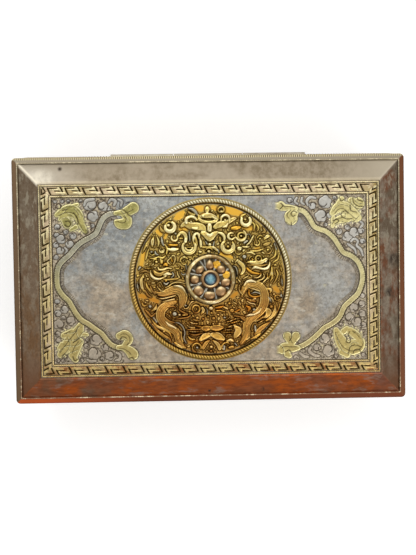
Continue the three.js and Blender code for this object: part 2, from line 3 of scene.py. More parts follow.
import bpy
import numpy as np
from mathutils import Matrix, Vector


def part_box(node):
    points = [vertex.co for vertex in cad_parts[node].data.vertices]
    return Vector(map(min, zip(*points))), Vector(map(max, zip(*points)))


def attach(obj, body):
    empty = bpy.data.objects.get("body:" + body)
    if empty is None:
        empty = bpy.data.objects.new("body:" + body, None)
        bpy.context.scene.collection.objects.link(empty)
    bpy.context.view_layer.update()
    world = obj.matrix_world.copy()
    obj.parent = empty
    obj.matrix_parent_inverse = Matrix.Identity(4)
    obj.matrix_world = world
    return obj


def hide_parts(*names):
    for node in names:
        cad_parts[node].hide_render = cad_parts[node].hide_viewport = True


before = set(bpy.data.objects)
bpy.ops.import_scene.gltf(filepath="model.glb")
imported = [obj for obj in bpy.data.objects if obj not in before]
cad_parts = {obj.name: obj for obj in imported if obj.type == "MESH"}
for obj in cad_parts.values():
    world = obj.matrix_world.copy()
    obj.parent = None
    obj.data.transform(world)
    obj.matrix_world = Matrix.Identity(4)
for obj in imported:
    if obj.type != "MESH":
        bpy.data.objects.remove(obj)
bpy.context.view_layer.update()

# Camera, fitted to the corners of the lid's edge and of the panel. It hangs almost straight above the
# closed box, a little towards the hinge, and it is turned by under a degree, as the picture is.
PICTURE_WIDTH = 416
FOCAL_PIXELS = 860.2
SENSOR_WIDTH = 36.0
camera_data = bpy.data.cameras.new("camera")
camera_data.sensor_fit = "HORIZONTAL"
camera_data.sensor_width = SENSOR_WIDTH
camera_data.lens = FOCAL_PIXELS * SENSOR_WIDTH / PICTURE_WIDTH
camera = bpy.data.objects.new("camera", camera_data)
camera.location = (-0.00794, 0.01307, 0.436)
camera.rotation_euler = (-0.0325, -0.0189, -0.0146)
bpy.context.scene.collection.objects.link(camera)
bpy.context.scene.camera = camera
bpy.context.scene.view_settings.view_transform = "Standard"


def linear(hex_colour):
    """An sRGB hex value as linear RGBA."""
    channels = [int(hex_colour[i:i + 2], 16) / 255 for i in (1, 3, 5)]
    return tuple(c / 12.92 if c <= 0.04045 else ((c + 0.055) / 1.055) ** 2.4 for c in channels) + (1.0,)


def add_node(tree, kind, inputs=None, **settings):
    """Adds a shader node of that kind with its settings, and sets or links its inputs."""
    node = tree.nodes.new("ShaderNode" + kind)
    for key, value in settings.items():
        setattr(node, key, value)
    for key, value in (inputs or {}).items():
        if isinstance(value, bpy.types.NodeSocket):
            tree.links.new(value, node.inputs[key])
        else:
            node.inputs[key].default_value = value
    return node


def new_material(name):
    """An empty material, and its tree of nodes."""
    material = bpy.data.materials.new(name)
    material.use_nodes = True
    material.node_tree.nodes.clear()
    return material, material.node_tree


# Floor and light: a plain pale floor, a white surround that the metal reflects, and two soft lamps,
# the larger one towards the hinge, where the picture's light comes from.
FLOOR_HALF = 1.2
bpy.ops.object.select_all(action="DESELECT")
bpy.ops.mesh.primitive_plane_add(size=2 * FLOOR_HALF, location=(0, 0, -0.0002))
floor = bpy.context.object
floor.name = "floor"
floor_material, tree = new_material("pale_floor")
light_path = add_node(tree, "LightPath")
seen = add_node(tree, "Math", {0: light_path.outputs["Is Camera Ray"], 1: light_path.outputs["Is Glossy Ray"]},
                operation="MAXIMUM")
seen = add_node(tree, "Math", {0: seen.outputs[0], 1: light_path.outputs["Is Transmission Ray"]},
                operation="MAXIMUM")
lift = add_node(tree, "Math", {0: seen.outputs[0], 1: 0.45}, operation="MULTIPLY")
diffuse = add_node(tree, "BsdfDiffuse", {"Color": linear("#f4f3f1")})
glow = add_node(tree, "Emission", {"Color": linear("#ffffff"), "Strength": lift.outputs[0]})
both = add_node(tree, "AddShader", {0: diffuse.outputs[0], 1: glow.outputs[0]})
add_node(tree, "OutputMaterial", {"Surface": both.outputs[0]})
floor.data.materials.append(floor_material)

world = bpy.data.worlds.new("surround")
bpy.context.scene.world = world
world.use_nodes = True
tree = world.node_tree
tree.nodes.clear()
light_path = add_node(tree, "LightPath")
seen = add_node(tree, "Math", {0: light_path.outputs["Is Camera Ray"], 1: light_path.outputs["Is Glossy Ray"]},
                operation="MAXIMUM")
seen = add_node(tree, "Math", {0: seen.outputs[0], 1: light_path.outputs["Is Transmission Ray"]},
                operation="MAXIMUM")
_, to_y, _ = add_node(tree, "SeparateXYZ", {0: add_node(tree, "TexCoord").outputs["Generated"]}).outputs
slope = add_node(tree, "MapRange", {0: to_y, 1: -0.8, 2: 0.8, 3: 0.5, 4: 1.3})
reflected = add_node(tree, "Mix", {0: light_path.outputs["Is Glossy Ray"], 2: 1.0, 3: slope.outputs[0]})
strength = add_node(tree, "Mix", {0: seen.outputs[0], 2: 0.55, 3: reflected.outputs[0]})
background = add_node(tree, "Background", {"Color": linear("#ffffff"), "Strength": strength.outputs[0]})
add_node(tree, "OutputWorld", {"Surface": background.outputs[0]})

for name, place, size, power in (
    ("lamp_back", (-0.10, 0.50, 0.70), 0.6, 1.5),
    ("lamp_front", (0.35, -0.45, 0.7), 0.5, 1.6),
):
    lamp_data = bpy.data.lights.new(name, "AREA")
    lamp_data.shape = "DISK"
    lamp_data.size = size
    lamp_data.energy = power
    lamp = bpy.data.objects.new(name, lamp_data)
    lamp.location = place
    direction = -lamp.location
    lamp.rotation_euler = direction.to_track_quat("-Z", "Y").to_euler()
    bpy.context.scene.collection.objects.link(lamp)


# Worn silvering over copper: sheet copper, silvered by hand and rubbed thin by years of use. It gives the
# eye a grey-brown metal with paler rubbed patches, brown tarnish, fine scratches and copper at the edges.
def millimetres(tree, size_mm, detail=4.0, rough=0.55, stretch=(1, 1, 1), seed=0.0):
    """A noise on Object coordinates whose features are size_mm wide."""
    place = add_node(tree, "TexCoord").outputs["Object"]
    scaled = add_node(tree, "Mapping", {"Vector": place, "Location": (seed, seed, seed), "Scale": stretch})
    noise = add_node(tree, "TexNoise", {"Vector": scaled.outputs[0], "Scale": 1000.0 / size_mm,
                                        "Detail": detail, "Roughness": rough})
    return noise.outputs["Fac"]


def between(value, low, high):
    """A mask that rises from 0 where the value is low to 1 where it is high."""
    return add_node(value.id_data, "MapRange", {0: value, 1: low, 2: high}).outputs[0]


def patchy(tree, size_mm, low, high, **pattern):
    """A mask of patches about size_mm wide."""
    return between(millimetres(tree, size_mm, **pattern), low, high)


def part_of(mask, share):
    """A mask held to a share of its strength, or to where a second mask holds too."""
    return add_node(mask.id_data, "Math", {0: mask, 1: share}, operation="MULTIPLY").outputs[0]


def blend(mask, first, second, share=1):
    """The second finish over the first where the mask holds. Each is a hex value or a socket."""
    if share != 1:
        mask = part_of(mask, share)
    mix = add_node(mask.id_data, "Mix", data_type="RGBA")
    for socket, value in ((mix.inputs[0], mask), (mix.inputs[6], first), (mix.inputs[7], second)):
        if isinstance(value, str):
            socket.default_value = linear(value)
        elif isinstance(value, bpy.types.NodeSocket):
            mix.id_data.links.new(value, socket)
    return mix.outputs[2]


def finish_metal(tree, colour, roughness, bump=None, bump_mm=0.05, metallic=1.0):
    """Gives a material its surface, with dents bump_mm deep."""
    shader = add_node(tree, "BsdfPrincipled", {"Base Color": colour, "Metallic": metallic,
                                               "Roughness": roughness})
    if bump is not None:
        bent = add_node(tree, "Bump", {"Height": bump, "Distance": bump_mm / 1000, "Strength": 0.6})
        tree.links.new(bent.outputs[0], shader.inputs["Normal"])
    add_node(tree, "OutputMaterial", {"Surface": shader.outputs[0]})


def copper_below(tree, colour):
    """The bare copper of a sheet's underside, which was never silvered."""
    _, _, facing_z = add_node(tree, "SeparateXYZ", {0: add_node(tree, "TexCoord").outputs["Normal"]}).outputs
    bare = blend(patchy(tree, 12.0, 0.40, 0.62, detail=6.0, rough=0.65, seed=3.3), "#7a4327", "#54301f")
    return blend(between(facing_z, -0.3, -0.5), colour, bare)


def worn_silvering(name, silver, tarnish, pale, copper, copper_front):
    """Silver in two tones with pale rubs, and with copper that shows through towards the front."""
    material, tree = new_material(name)
    patches = patchy(tree, 30.0, 0.30, 0.72, detail=8.0, rough=0.7, seed=3.1)
    colour = blend(patches, silver, tarnish)
    rubs_and_highlights = patchy(tree, 9.0, 0.50, 0.68, detail=8.0, rough=0.72, stretch=(0.6, 0.6, 1.0), seed=7.7)
    colour = blend(rubs_and_highlights, colour, pale, 0.4)
    specks = patchy(tree, 2.2, 0.60, 0.74, detail=3.0, seed=1.3)
    colour = blend(specks, colour, tarnish, 0.5)
    place = add_node(tree, "TexCoord").outputs["Object"]
    front = between(add_node(tree, "SeparateXYZ", {0: place}).outputs["Y"], -0.0415, -0.0440)
    wear = patchy(tree, 15.0, 0.35, 0.60, detail=5.0, seed=5.2)
    colour = blend(part_of(front, wear), colour, copper, copper_front)
    scratches = millimetres(tree, 1.6, detail=2.0, stretch=(0.16, 1.0, 1.0), seed=2.0)
    roughness = add_node(tree, "MapRange", {0: scratches, 1: 0.3, 2: 0.7, 3: 0.30, 4: 0.48})
    bump = add_node(tree, "Math", {0: millimetres(tree, 5.0, detail=3.0, seed=9.0),
                                   1: part_of(scratches, 0.12)}, operation="ADD").outputs[0]
    finish_metal(tree, colour, roughness.outputs[0], bump, 0.10)
    return material


def dress(node, material):
    """A CAD piece that keeps its shape and gets its finish."""
    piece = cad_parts[node]
    piece.data.materials.clear()
    piece.data.materials.append(material)


# Box: a flat base plate, a wall bent from one strip, and a collar soldered inside the mouth, over which the lid
# slides. All are sheet copper. The wall and the lid's upright band are silvered, the rest was left bare.
wall_metal = worn_silvering("silvered_copper_walls", "#8c8272", "#665645", "#b3a995", "#8a4a2a", 0.35)
copper_metal = worn_silvering("bare_copper", "#7a4327", "#4f2d1d", "#a4694a", "#8f4a28", 0.3)
for node in ("body_wall", "lid_skirt"):
    dress(node, wall_metal)
for node in ("base_plate", "inner_collar"):
    dress(node, copper_metal)


# Twisted wires: two silvered strands twisted together, drawn down, bent round the box and soldered on. One
# lies in the angle of the foot, one below the mouth and one round the lid, where the picture shows its strands
# as short slanted ticks along the back edge.
TWIST_PITCH = 2.6
STRAND_SHARE = 0.54
WIRE_SIDES = 6
SEAM = 0.000001


def sheet_grid(name, columns, rows):
    """A grid to be shaped, with the place of each of its points from 0 to 1 across and up."""
    bpy.ops.object.select_all(action="DESELECT")
    bpy.ops.mesh.primitive_grid_add(x_subdivisions=columns, y_subdivisions=rows, size=2)
    piece = bpy.context.object
    piece.name = piece.data.name = name
    flat = np.empty(len(piece.data.vertices) * 3)
    piece.data.vertices.foreach_get("co", flat)
    u, v = (flat.reshape(-1, 3)[:, :2].T + 1) / 2
    return piece, u, v


def set_sheet(piece, x, y, z, **layers):
    """Puts a grid's points in their places, in millimetres, and keeps what its finish follows as attributes."""
    points = np.stack([x, y, z], axis=1) / 1000
    piece.data.vertices.foreach_set("co", points.ravel())
    for layer, values in layers.items():
        piece.data.attributes.new(layer, "FLOAT", "POINT").data.foreach_set("value", values)
    piece.data.update()


def close_below(bottom_mm, loops=1):
    """Gives the raised sheet its sides and its flat underside. A ring has two loops, and a seam to close."""
    bpy.ops.object.mode_set(mode="EDIT")
    if loops == 2:
        bpy.ops.mesh.select_all(action="SELECT")
        bpy.ops.mesh.remove_doubles(threshold=SEAM)
    bpy.ops.mesh.select_mode(type="EDGE")
    bpy.ops.mesh.select_all(action="DESELECT")
    bpy.ops.mesh.select_non_manifold(extend=False, use_wire=False, use_boundary=True,
                                     use_multi_face=False, use_non_contiguous=False, use_verts=False)
    bpy.ops.mesh.extrude_edges_move()
    bpy.ops.transform.resize(value=(1, 1, 0), center_override=(0, 0, bottom_mm / 1000))
    if loops == 1:
        bpy.ops.mesh.edge_face_add()
    else:
        bpy.ops.mesh.bridge_edge_loops()
    bpy.ops.mesh.select_all(action="SELECT")
    bpy.ops.mesh.normals_make_consistent(inside=False)
    bpy.ops.object.mode_set(mode="OBJECT")


def round_the_box(half_long, half_short, corner, step):
    """Points and outward normals along a rectangle with round corners, all in millimetres."""
    places, normals = [], []
    for sign_x, sign_y, from_angle in ((1, 1, 0), (-1, 1, 90), (-1, -1, 180), (1, -1, 270)):
        cx, cy = sign_x * (half_long - corner), sign_y * (half_short - corner)
        for i in range(7):
            a = math.radians(from_angle + 15 * i)
            places.append((cx + corner * math.cos(a), cy + corner * math.sin(a)))
            normals.append((math.cos(a), math.sin(a)))
    places, normals = np.array(places + places[:1]), np.array(normals + normals[:1])
    run = np.concatenate([[0], np.cumsum(np.hypot(*np.diff(places, axis=0).T))])
    at = np.linspace(0, run[-1], int(run[-1] / step) + 1)
    path = np.stack([np.interp(at, run, places[:, k]) for k in (0, 1)], axis=1)
    out = np.stack([np.interp(at, run, normals[:, k]) for k in (0, 1)], axis=1)
    return path, out / np.hypot(*out.T)[:, None], at


def wire_mesh(name, path, out, heights, radius):
    """A closed tube round a closed path. The radius and the height may change along it."""
    piece, u, v = sheet_grid(name, len(path) - 1, WIRE_SIDES)
    i = np.rint(u * (len(path) - 1)).astype(int)
    around = -v * 2 * math.pi
    r = np.broadcast_to(radius, len(path))[i]
    side = r * np.cos(around)
    x = path[i, 0] + out[i, 0] * side
    y = path[i, 1] + out[i, 1] * side
    z = np.broadcast_to(heights, len(path))[i] + r * np.sin(around)
    set_sheet(piece, x, y, z)
    bpy.ops.object.mode_set(mode="EDIT")
    bpy.ops.mesh.select_all(action="SELECT")
    bpy.ops.mesh.remove_doubles(threshold=2 * SEAM)
    bpy.ops.mesh.normals_make_consistent(inside=False)
    bpy.ops.object.mode_set(mode="OBJECT")
    bpy.ops.object.shade_smooth()
    return piece


def twisted_wire(name, node, body):
    """Two strands twisted round each other, in the place of a plain round wire."""
    low, high = (np.array(corner) * 1000 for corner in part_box(node))
    radius = (high[2] - low[2]) / 2
    path, out, at = round_the_box(high[0] - radius, high[1] - radius, ROPE_CORNER, 0.42)
    turn = 2 * math.pi * at / at[-1] * round(at[-1] / TWIST_PITCH)
    strand = radius * STRAND_SHARE
    for number in (0, 1):
        swing = (radius - strand) * np.cos(turn + math.pi * number)
        lift = (radius - strand) * np.sin(turn + math.pi * number)
        piece = wire_mesh(f"{name}_strand_{number + 1}", path + out * swing[:, None], out,
                          (high[2] + low[2]) / 2 + lift, strand)
        piece.data.materials.append(wire_metal)
        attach(piece, body)
        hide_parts(node)


ROPE_CORNER = 6.0
wire_metal = worn_silvering("silvered_twisted_wire", "#b5a986", "#6a5838", "#ddd2ae", "#8a5a34", 0.2)
twisted_wire("foot_wire", "foot_rope", "box")
twisted_wire("mouth_wire", "body_mouth_rope", "box")
twisted_wire("lid_wire", "lid_rim_rope", "lid")


# Hinge: three plain barrels of rolled sheet on a pin, two soldered to the box and the middle one to the lid.
# They are silvered like the wires and rubbed bright.
hinge_metal = worn_silvering("silvered_hinge", "#b5ad9a", "#7c705c", "#d6cfbd", "#8a5a34", 0.1)
for node in ("hinge_knuckle_left", "hinge_knuckle_middle", "hinge_knuckle_right", "hinge_pin"):
    dress(node, hinge_metal)


# Lid: an upright band, a narrow flat edge and a mitred sloping frame, soldered together and silvered. The back
# slope keeps its pale brushed silver, the ends are worn to brown with grey left in blotches, and the front one
# is rubbed to bare copper in its middle.
LID_HALF_LONG, LID_HALF_SHORT = 0.087, 0.0545
# Nicks and stains: place and size in millimetres.
MARKS = ((-65.5, 49.3, 1.3), (22.8, -49.6, 1.2), (81.6, 7.6, 3.6), (79.6, -7.4, 3.2), (-1.0, -49.8, 1.0))
bevel_metal, tree = new_material("silvered_copper_lid")
place = add_node(tree, "TexCoord").outputs["Object"]
at_x, at_y, _ = add_node(tree, "SeparateXYZ", {0: place}).outputs
off_x = add_node(tree, "Math", {0: at_x}, operation="ABSOLUTE").outputs[0]
off_y = add_node(tree, "Math", {0: at_y}, operation="ABSOLUTE").outputs[0]
from_end = add_node(tree, "Math", {0: LID_HALF_LONG, 1: off_x}, operation="SUBTRACT").outputs[0]
from_side = add_node(tree, "Math", {0: LID_HALF_SHORT, 1: off_y}, operation="SUBTRACT").outputs[0]
past_mitre = add_node(tree, "Math", {0: from_end, 1: from_side}, operation="SUBTRACT").outputs[0]
long_side = between(past_mitre, -0.0003, 0.0003)
from_edge = add_node(tree, "Math", {0: from_end, 1: from_side}, operation="MINIMUM").outputs[0]
to_back = between(at_y, -0.001, 0.001)
to_right = between(at_x, -0.001, 0.001)
brushed = millimetres(tree, 1.6, detail=5.0, rough=0.65, stretch=(0.7, 0.4, 0.5), seed=2.0)
clouds = millimetres(tree, 13.0, detail=5.0, stretch=(0.55, 1.0, 1.0), seed=7.2)
blotches = patchy(tree, 6.5, 0.46, 0.58, detail=7.0, rough=0.68, stretch=(1.0, 0.5, 1.0), seed=4.4)
fine = patchy(tree, 1.4, 0.40, 0.62, detail=5.0, rough=0.75, seed=6.4)

silvered = blend(between(brushed, 0.38, 0.60), "#7a6d58", "#928571")
silvered = blend(between(clouds, 0.46, 0.62), silvered, "#a09480", 0.7)
silvered = blend(between(at_x, 0.052, 0.078), silvered, "#a59a86")
silvered = blend(between(at_x, -0.052, -0.078), silvered, "#b6ad9d")
outer_left = part_of(between(at_x, -0.025, -0.050), between(from_edge, 0.0075, 0.0035))
silvered = blend(outer_left, silvered, "#867a66", 0.6)
silvered = blend(between(from_edge, 0.0106, 0.0121), silvered, "#d3c3a2", 0.7)
worn_left = blend(between(at_y, -0.030, 0.034), "#7a5b3e", "#746451")
worn_right = blend(between(clouds, 0.44, 0.56), "#744a33", "#6a5c4b")
worn = blend(to_right, worn_left, worn_right)
grey_share = add_node(tree, "MapRange", {0: to_right, 3: 0.4, 4: 0.85}).outputs[0]
worn = blend(blotches, worn, "#8f8473", grey_share)
worn = blend(fine, worn, "#54402f", 0.5)
flaked = patchy(tree, 2.6, 0.52, 0.60, detail=6.0, rough=0.7, stretch=(1.0, 0.5, 1.0), seed=8.1)
to_rear = between(at_y, -0.045, 0.030)
worn = blend(part_of(flaked, to_rear), worn, "#a39a85", 0.55)
worn = blend(between(at_y, -0.030, -0.050), worn, "#6f4a33")
bare = blend(between(clouds, 0.44, 0.58), "#a15d39", "#ba5d25")
off_middle = add_node(tree, "Math", {0: at_x, 1: 0.006}, operation="SUBTRACT").outputs[0]
off_middle = add_node(tree, "Math", {0: off_middle}, operation="ABSOLUTE").outputs[0]
brown = blend(between(at_x, -0.02, 0.04), "#84644c", "#8e5f4b")
brown_share = part_of(between(off_middle, 0.024, 0.060), patchy(tree, 11.0, 0.38, 0.58, detail=5.0, seed=5.2))
bare = blend(brown_share, bare, brown)
rubs = patchy(tree, 1.5, 0.42, 0.62, detail=5.0, rough=0.7, stretch=(0.3, 1.0, 1.0), seed=5.9)
bare = blend(rubs, bare, "#70412b", 0.6)
specks = patchy(tree, 3.4, 0.55, 0.64, detail=7.0, rough=0.65, stretch=(0.4, 1.0, 1.0), seed=1.3)
bare = blend(specks, bare, "#a98f7c", 0.5)
colour = blend(long_side, worn, blend(to_back, bare, silvered))
# Painted highlight: a pale line along the back mitres, strongest at the back left.
off_mitre = add_node(tree, "Math", {0: past_mitre}, operation="ABSOLUTE").outputs[0]
mitre = part_of(between(off_mitre, 0.0014, 0.0003), to_back)
at_back_left = part_of(to_back, between(at_x, 0.001, -0.001))
# Painted highlight: a pale patch on the back slope by the panel's back-left corner.
panel_corner = add_node(tree, "VectorMath", {0: place, 1: (-0.0735, 0.0425, 0.055)}, operation="DISTANCE")
corner_highlight = part_of(between(panel_corner.outputs["Value"], 0.0080, 0.0010), between(brushed, 0.30, 0.60))
colour = blend(part_of(corner_highlight, long_side), colour, "#efe7d2", 0.8)
rubs_and_highlights = add_node(tree, "Math", {0: 0.15, 1: part_of(at_back_left, 0.7)}, operation="ADD").outputs[0]
colour = blend(mitre, colour, "#e2d8c2", rubs_and_highlights)
ledge_front = blend(between(at_x, -0.030, -0.075), "#6a3b28", "#b4542b")
ledge = blend(long_side, blend(to_right, "#6f5943", "#6e4630"), blend(to_back, ledge_front, "#9b907c"))
colour = blend(between(from_edge, 0.0023, 0.0018), colour, ledge)
colour = blend(between(from_edge, 0.0006, 0.0), colour, "#3f2a1e", 0.5)
milled = add_node(tree, "Math", {0: part_of(at_x, 2 * math.pi / 0.00095)}, operation="SINE").outputs[0]
milled = blend(between(milled, -0.3, 0.3), "#6a5a42", "#e0d3a8")
at_back_edge = part_of(between(from_side, 0.0011, 0.0008), to_back)
colour = blend(at_back_edge, colour, milled, 0.8)
flat = add_node(tree, "VectorMath", {0: place, 1: (1, 1, 0)}, operation="MULTIPLY").outputs["Vector"]
for mark_x, mark_y, size in MARKS:
    from_mark = add_node(tree, "VectorMath", {0: flat, 1: (mark_x / 1000, mark_y / 1000, 0)},
                         operation="DISTANCE").outputs["Value"]
    stain = part_of(between(from_mark, size / 1000, size / 4000), between(brushed, 0.42, 0.56))
    colour = blend(stain, colour, "#3f352c")
colour = copper_below(tree, colour)
roughness = add_node(tree, "MapRange", {0: brushed, 1: 0.3, 2: 0.7, 3: 0.34, 4: 0.48})
bump = add_node(tree, "Math", {0: millimetres(tree, 6.0, detail=3.0, seed=9.0), 1: part_of(brushed, 0.14)},
                operation="ADD").outputs[0]
finish_metal(tree, colour, roughness.outputs[0], bump, 0.09)
for node in ("lid_bevel", "lid_ledge"):
    dress(node, bevel_metal)


# Bead wire: a fine silvered wire milled into beads and soldered at the foot of the slope. Its beads are browned
# in places and carry pale patches that are partly rubbed silver and partly painted highlights.
BEAD_STEP = 0.95
low, high = (np.array(corner) * 1000 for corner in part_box("ledge_bead_wire"))
bead_radius = (high[2] - low[2]) / 2 + 0.05
path, out, at = round_the_box(high[0] - bead_radius, high[1] - bead_radius, 0.4, BEAD_STEP / 6)
swell = 0.55 + 0.45 * np.abs(np.sin(math.pi * at / BEAD_STEP)) ** 0.7
bead_wire = wire_mesh("milled_bead_wire", path, out, (high[2] + low[2]) / 2, bead_radius * swell)
bead_metal, tree = new_material("silvered_bead_wire")
place = add_node(tree, "TexCoord").outputs["Object"]
at_y = add_node(tree, "SeparateXYZ", {0: place}).outputs["Y"]
dull = blend(between(at_y, -0.03, 0.03), "#8a6a52", "#a5997f")
# Pale patches on the beads: rubbed silver and painted highlights.
rubs_and_highlights = patchy(tree, 3.0, 0.50, 0.60, detail=6.0, rough=0.7, stretch=(1.0, 1.0, 0.1), seed=1.4)
colour = blend(rubs_and_highlights, dull, "#d6caa9")
finish_metal(tree, colour, 0.34, millimetres(tree, 1.0, seed=6.0), 0.03)
bead_wire.data.materials.append(bead_metal)
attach(bead_wire, "lid")
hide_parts("ledge_bead_wire")


# Panel: one flat sheet, silvered and chased from the front. A gilt ribbon with ruyi heads closes each end;
# beyond it the ground is matted with a fine punch and filled with gilt leaves and silver scrolls. It gives the
# eye a cool grey field with warm worn patches, and fine dark outlines round every leaf.
CHASED_STEP = 0.26
PLAIN_STEP = 1.5
CHASED_FROM = 30.0
RIBBON_HALF = 1.22
FORM_RISE = 0.06
OUTLINE_HALF = 0.24
FRINGED_FROM = 44.0


class Sheet:
    """A chased surface in millimetres: where its points lie, how high they stand, how they are finished and
    where highlights are painted.
    """

    def __init__(self, x, y):
        self.x, self.y = x, y
        self.height, self.cut, self.gilt, self.matted, self.shine = np.zeros((5, len(x)))


def dot(x, y, radius):
    return [(x - 0.1, y, radius), (x + 0.1, y, radius)]


def flowing(points, step=0.3):
    """A smooth line through (x, y, half width) points, with one sample every step millimetres."""
    knots = np.array(points, float)
    knots = np.vstack([2 * knots[0] - knots[1], knots, 2 * knots[-1] - knots[-2]])
    samples = []
    for a, b, c, d in zip(knots, knots[1:], knots[2:], knots[3:]):
        count = max(2, int(math.dist(b[:2], c[:2]) / step))
        t = np.linspace(0, 1, count, endpoint=False)[:, None]
        samples.append(0.5 * (2 * b + (c - a) * t + (2 * a - 5 * b + 4 * c - d) * t ** 2
                              + (3 * b - a - 3 * c + d) * t ** 3))
    line = np.vstack(samples + [knots[-2:-1]])
    line[:, 2] = np.maximum(line[:, 2], 0.1)
    return line


def near_line(sheet, points, margin=0.4):
    """The sheet's points near a line: which they are, their depth inside it, its half width and their side."""
    line = flowing(points)
    reach = line[:, 2].max() + margin
    near = np.flatnonzero((sheet.x > line[:, 0].min() - reach) & (sheet.x < line[:, 0].max() + reach)
                          & (sheet.y > line[:, 1].min() - reach) & (sheet.y < line[:, 1].max() + reach))
    if len(near) == 0:
        return near, near, near, near, near
    x, y = sheet.x[near][:, None] - line[:, 0], sheet.y[near][:, None] - line[:, 1]
    depth = line[:, 2] - np.hypot(x, y)
    best = np.argmax(depth, axis=1)
    rows = np.arange(len(near))
    heading = np.gradient(line[:, :2], axis=0)[best]
    side = np.sign(heading[:, 0] * y[rows, best] - heading[:, 1] * x[rows, best])
    along = np.concatenate([[0], np.cumsum(np.hypot(*np.diff(line[:, :2], axis=0).T))])[best]
    return near, depth[rows, best], line[best, 2], side, along


def chase(sheet, strokes, gilt, rise=FORM_RISE, dark=1.0):
    """A form of one or more broad strokes that stands proud of the ground, inside a fine dark outline."""
    depth = np.full(len(sheet.x), -9.0)
    for points in strokes:
        near, inner, _, _, _ = near_line(sheet, points)
        depth[near] = np.maximum(depth[near], inner)
    inside = depth > 0
    sheet.height[inside] = rise * np.clip(depth[inside] / 0.3, 0, 1)
    sheet.gilt[inside], sheet.matted[inside] = gilt, 0.1
    # Silver forms are paler inside, partly as polished silver and partly as a painted highlight.
    sheet.cut[inside], sheet.shine[inside] = 0, 0.42 * (1 - gilt)
    outline = np.clip(1.25 - np.abs(depth + 0.05) / OUTLINE_HALF, 0, 1)
    sheet.cut = np.maximum(sheet.cut, dark * outline * (1 - 0.3 * gilt))
    sheet.height -= 0.07 * outline
    # Painted highlight: a pale line just inside the edge of each form.
    sheet.shine = np.maximum(sheet.shine, (0.3 + 0.7 * gilt) * np.exp(-((depth - 0.3) / 0.17) ** 2))


def engrave(sheet, points, half=0.17, deep=0.07):
    """A fine dark line cut with the chasing tool."""
    near, depth, _, _, _ = near_line(sheet, [(x, y, half) for x, y in points])
    share = np.clip(1 + depth / half * 0.8, 0, 1)
    sheet.cut[near] = np.maximum(sheet.cut[near], share)
    sheet.height[near] -= deep * share


def vein(sheet, points, half=0.18, rise=0.04):
    """A fine ridge left standing between two strokes of the tool. Its shine is a painted highlight on the panel
    and the fret, and the silver of the wires on the wheel's floor.
    """
    near, depth, _, _, _ = near_line(sheet, [(x, y, half) for x, y in points])
    share = np.clip(1 + depth / half, 0, 1)
    sheet.shine[near] = np.maximum(sheet.shine[near], share)
    sheet.height[near] += rise * share


def beside(line, offset):
    """The smooth line moved sideways, to the left of its run if the offset is positive."""
    heading = np.gradient(line[:, :2], axis=0)
    heading /= np.hypot(*heading.T)[:, None]
    return line[:, :2] + offset * np.stack([-heading[:, 1], heading[:, 0]], axis=1)


def ribbon(sheet, points, inward):
    """A cusped ribbon with its dark edge lines and, on the panel's side, a band of fine cross strokes."""
    line = flowing([(x, y, RIBBON_HALF) for x, y in points])
    chase(sheet, [line], 0.8, rise=0.03, dark=0.7)
    near, depth, _, _, _ = near_line(sheet, line)
    held = near[depth > 0]
    rubbed_off = 0.5 * np.clip((sheet.y[held] + 2) / 12, 0, 1) * (sheet.x[held] < 0)
    sheet.gilt[held] -= rubbed_off
    sheet.shine[held] *= 0.9
    for start, finish in zip(beside(line, -inward * RIBBON_HALF * 0.98)[::3],
                             beside(line, -inward * RIBBON_HALF * 0.7)[::3]):
        engrave(sheet, [start, finish], half=0.1, deep=0.03)
    band = [(x, y, 0.75) for x, y in beside(line, inward * (RIBBON_HALF + 1.15))]
    near, depth, _, _, _ = near_line(sheet, band)
    held = sheet.gilt[near] < 0.5
    sheet.matted[near[held]] = np.maximum(sheet.matted[near[held]],
                                          np.clip(depth[held] / 0.3 + 0.5, 0, 1) * 0.7)
    for start, finish in zip(beside(line, inward * (RIBBON_HALF + 0.45))[::2],
                             beside(line, inward * (RIBBON_HALF + 1.75))[::2]):
        engrave(sheet, [start, finish], half=0.09, deep=0.03)
    engrave(sheet, beside(line, inward * (RIBBON_HALF + 0.1)), half=0.15)
    engrave(sheet, beside(line, -inward * (RIBBON_HALF + 0.1)), half=0.18)


def lobe(sheet, x, y, radius, start, hand=1):
    """A silver cloud head: scalloped on one side, with a hooked line that winds in on the other."""
    scallops = [math.radians(start - hand * turn) for turn in (75, 135, 195)]
    heads = [dot(x + 0.56 * radius * math.cos(turn), y + 0.56 * radius * math.sin(turn), radius * 0.44)
             for turn in scallops]
    chase(sheet, [dot(x, y, radius * 0.82)] + heads, 0.0)
    winding = [(start + hand * 42 * i, 1 - 0.15 * i) for i in range(5 if radius > 1.2 else 3)]
    engrave(sheet, [(x + radius * share * math.cos(math.radians(turn)),
                     y + radius * share * math.sin(math.radians(turn))) for turn, share in winding])


def pack_scrolls(sheet, free, least, most, draw, step=0.45):
    """Fills what ground is left with round scrolls: the widest gap first, each as large as its gap allows."""
    taken = np.flatnonzero(~free)
    x, y = np.meshgrid(np.arange(sheet.x[free].min(), sheet.x[free].max(), step),
                       np.arange(sheet.y[free].min(), sheet.y[free].max(), step))
    x, y = x.ravel(), y.ravel()
    room = np.full(len(x), 9.0)
    for i in range(len(x)):
        close = taken[(np.abs(sheet.x[taken] - x[i]) < most) & (np.abs(sheet.y[taken] - y[i]) < most)]
        if len(close):
            room[i] = np.hypot(sheet.x[close] - x[i], sheet.y[close] - y[i]).min()
    room[room > most] = most
    count = 0
    while room.max() > least:
        best = int(np.argmax(room))
        radius = room[best]
        draw(sheet, x[best], y[best], radius, 137.5 * count, (-1) ** count)
        room = np.minimum(room, np.hypot(x - x[best], y - y[best]) - radius)
        count += 1


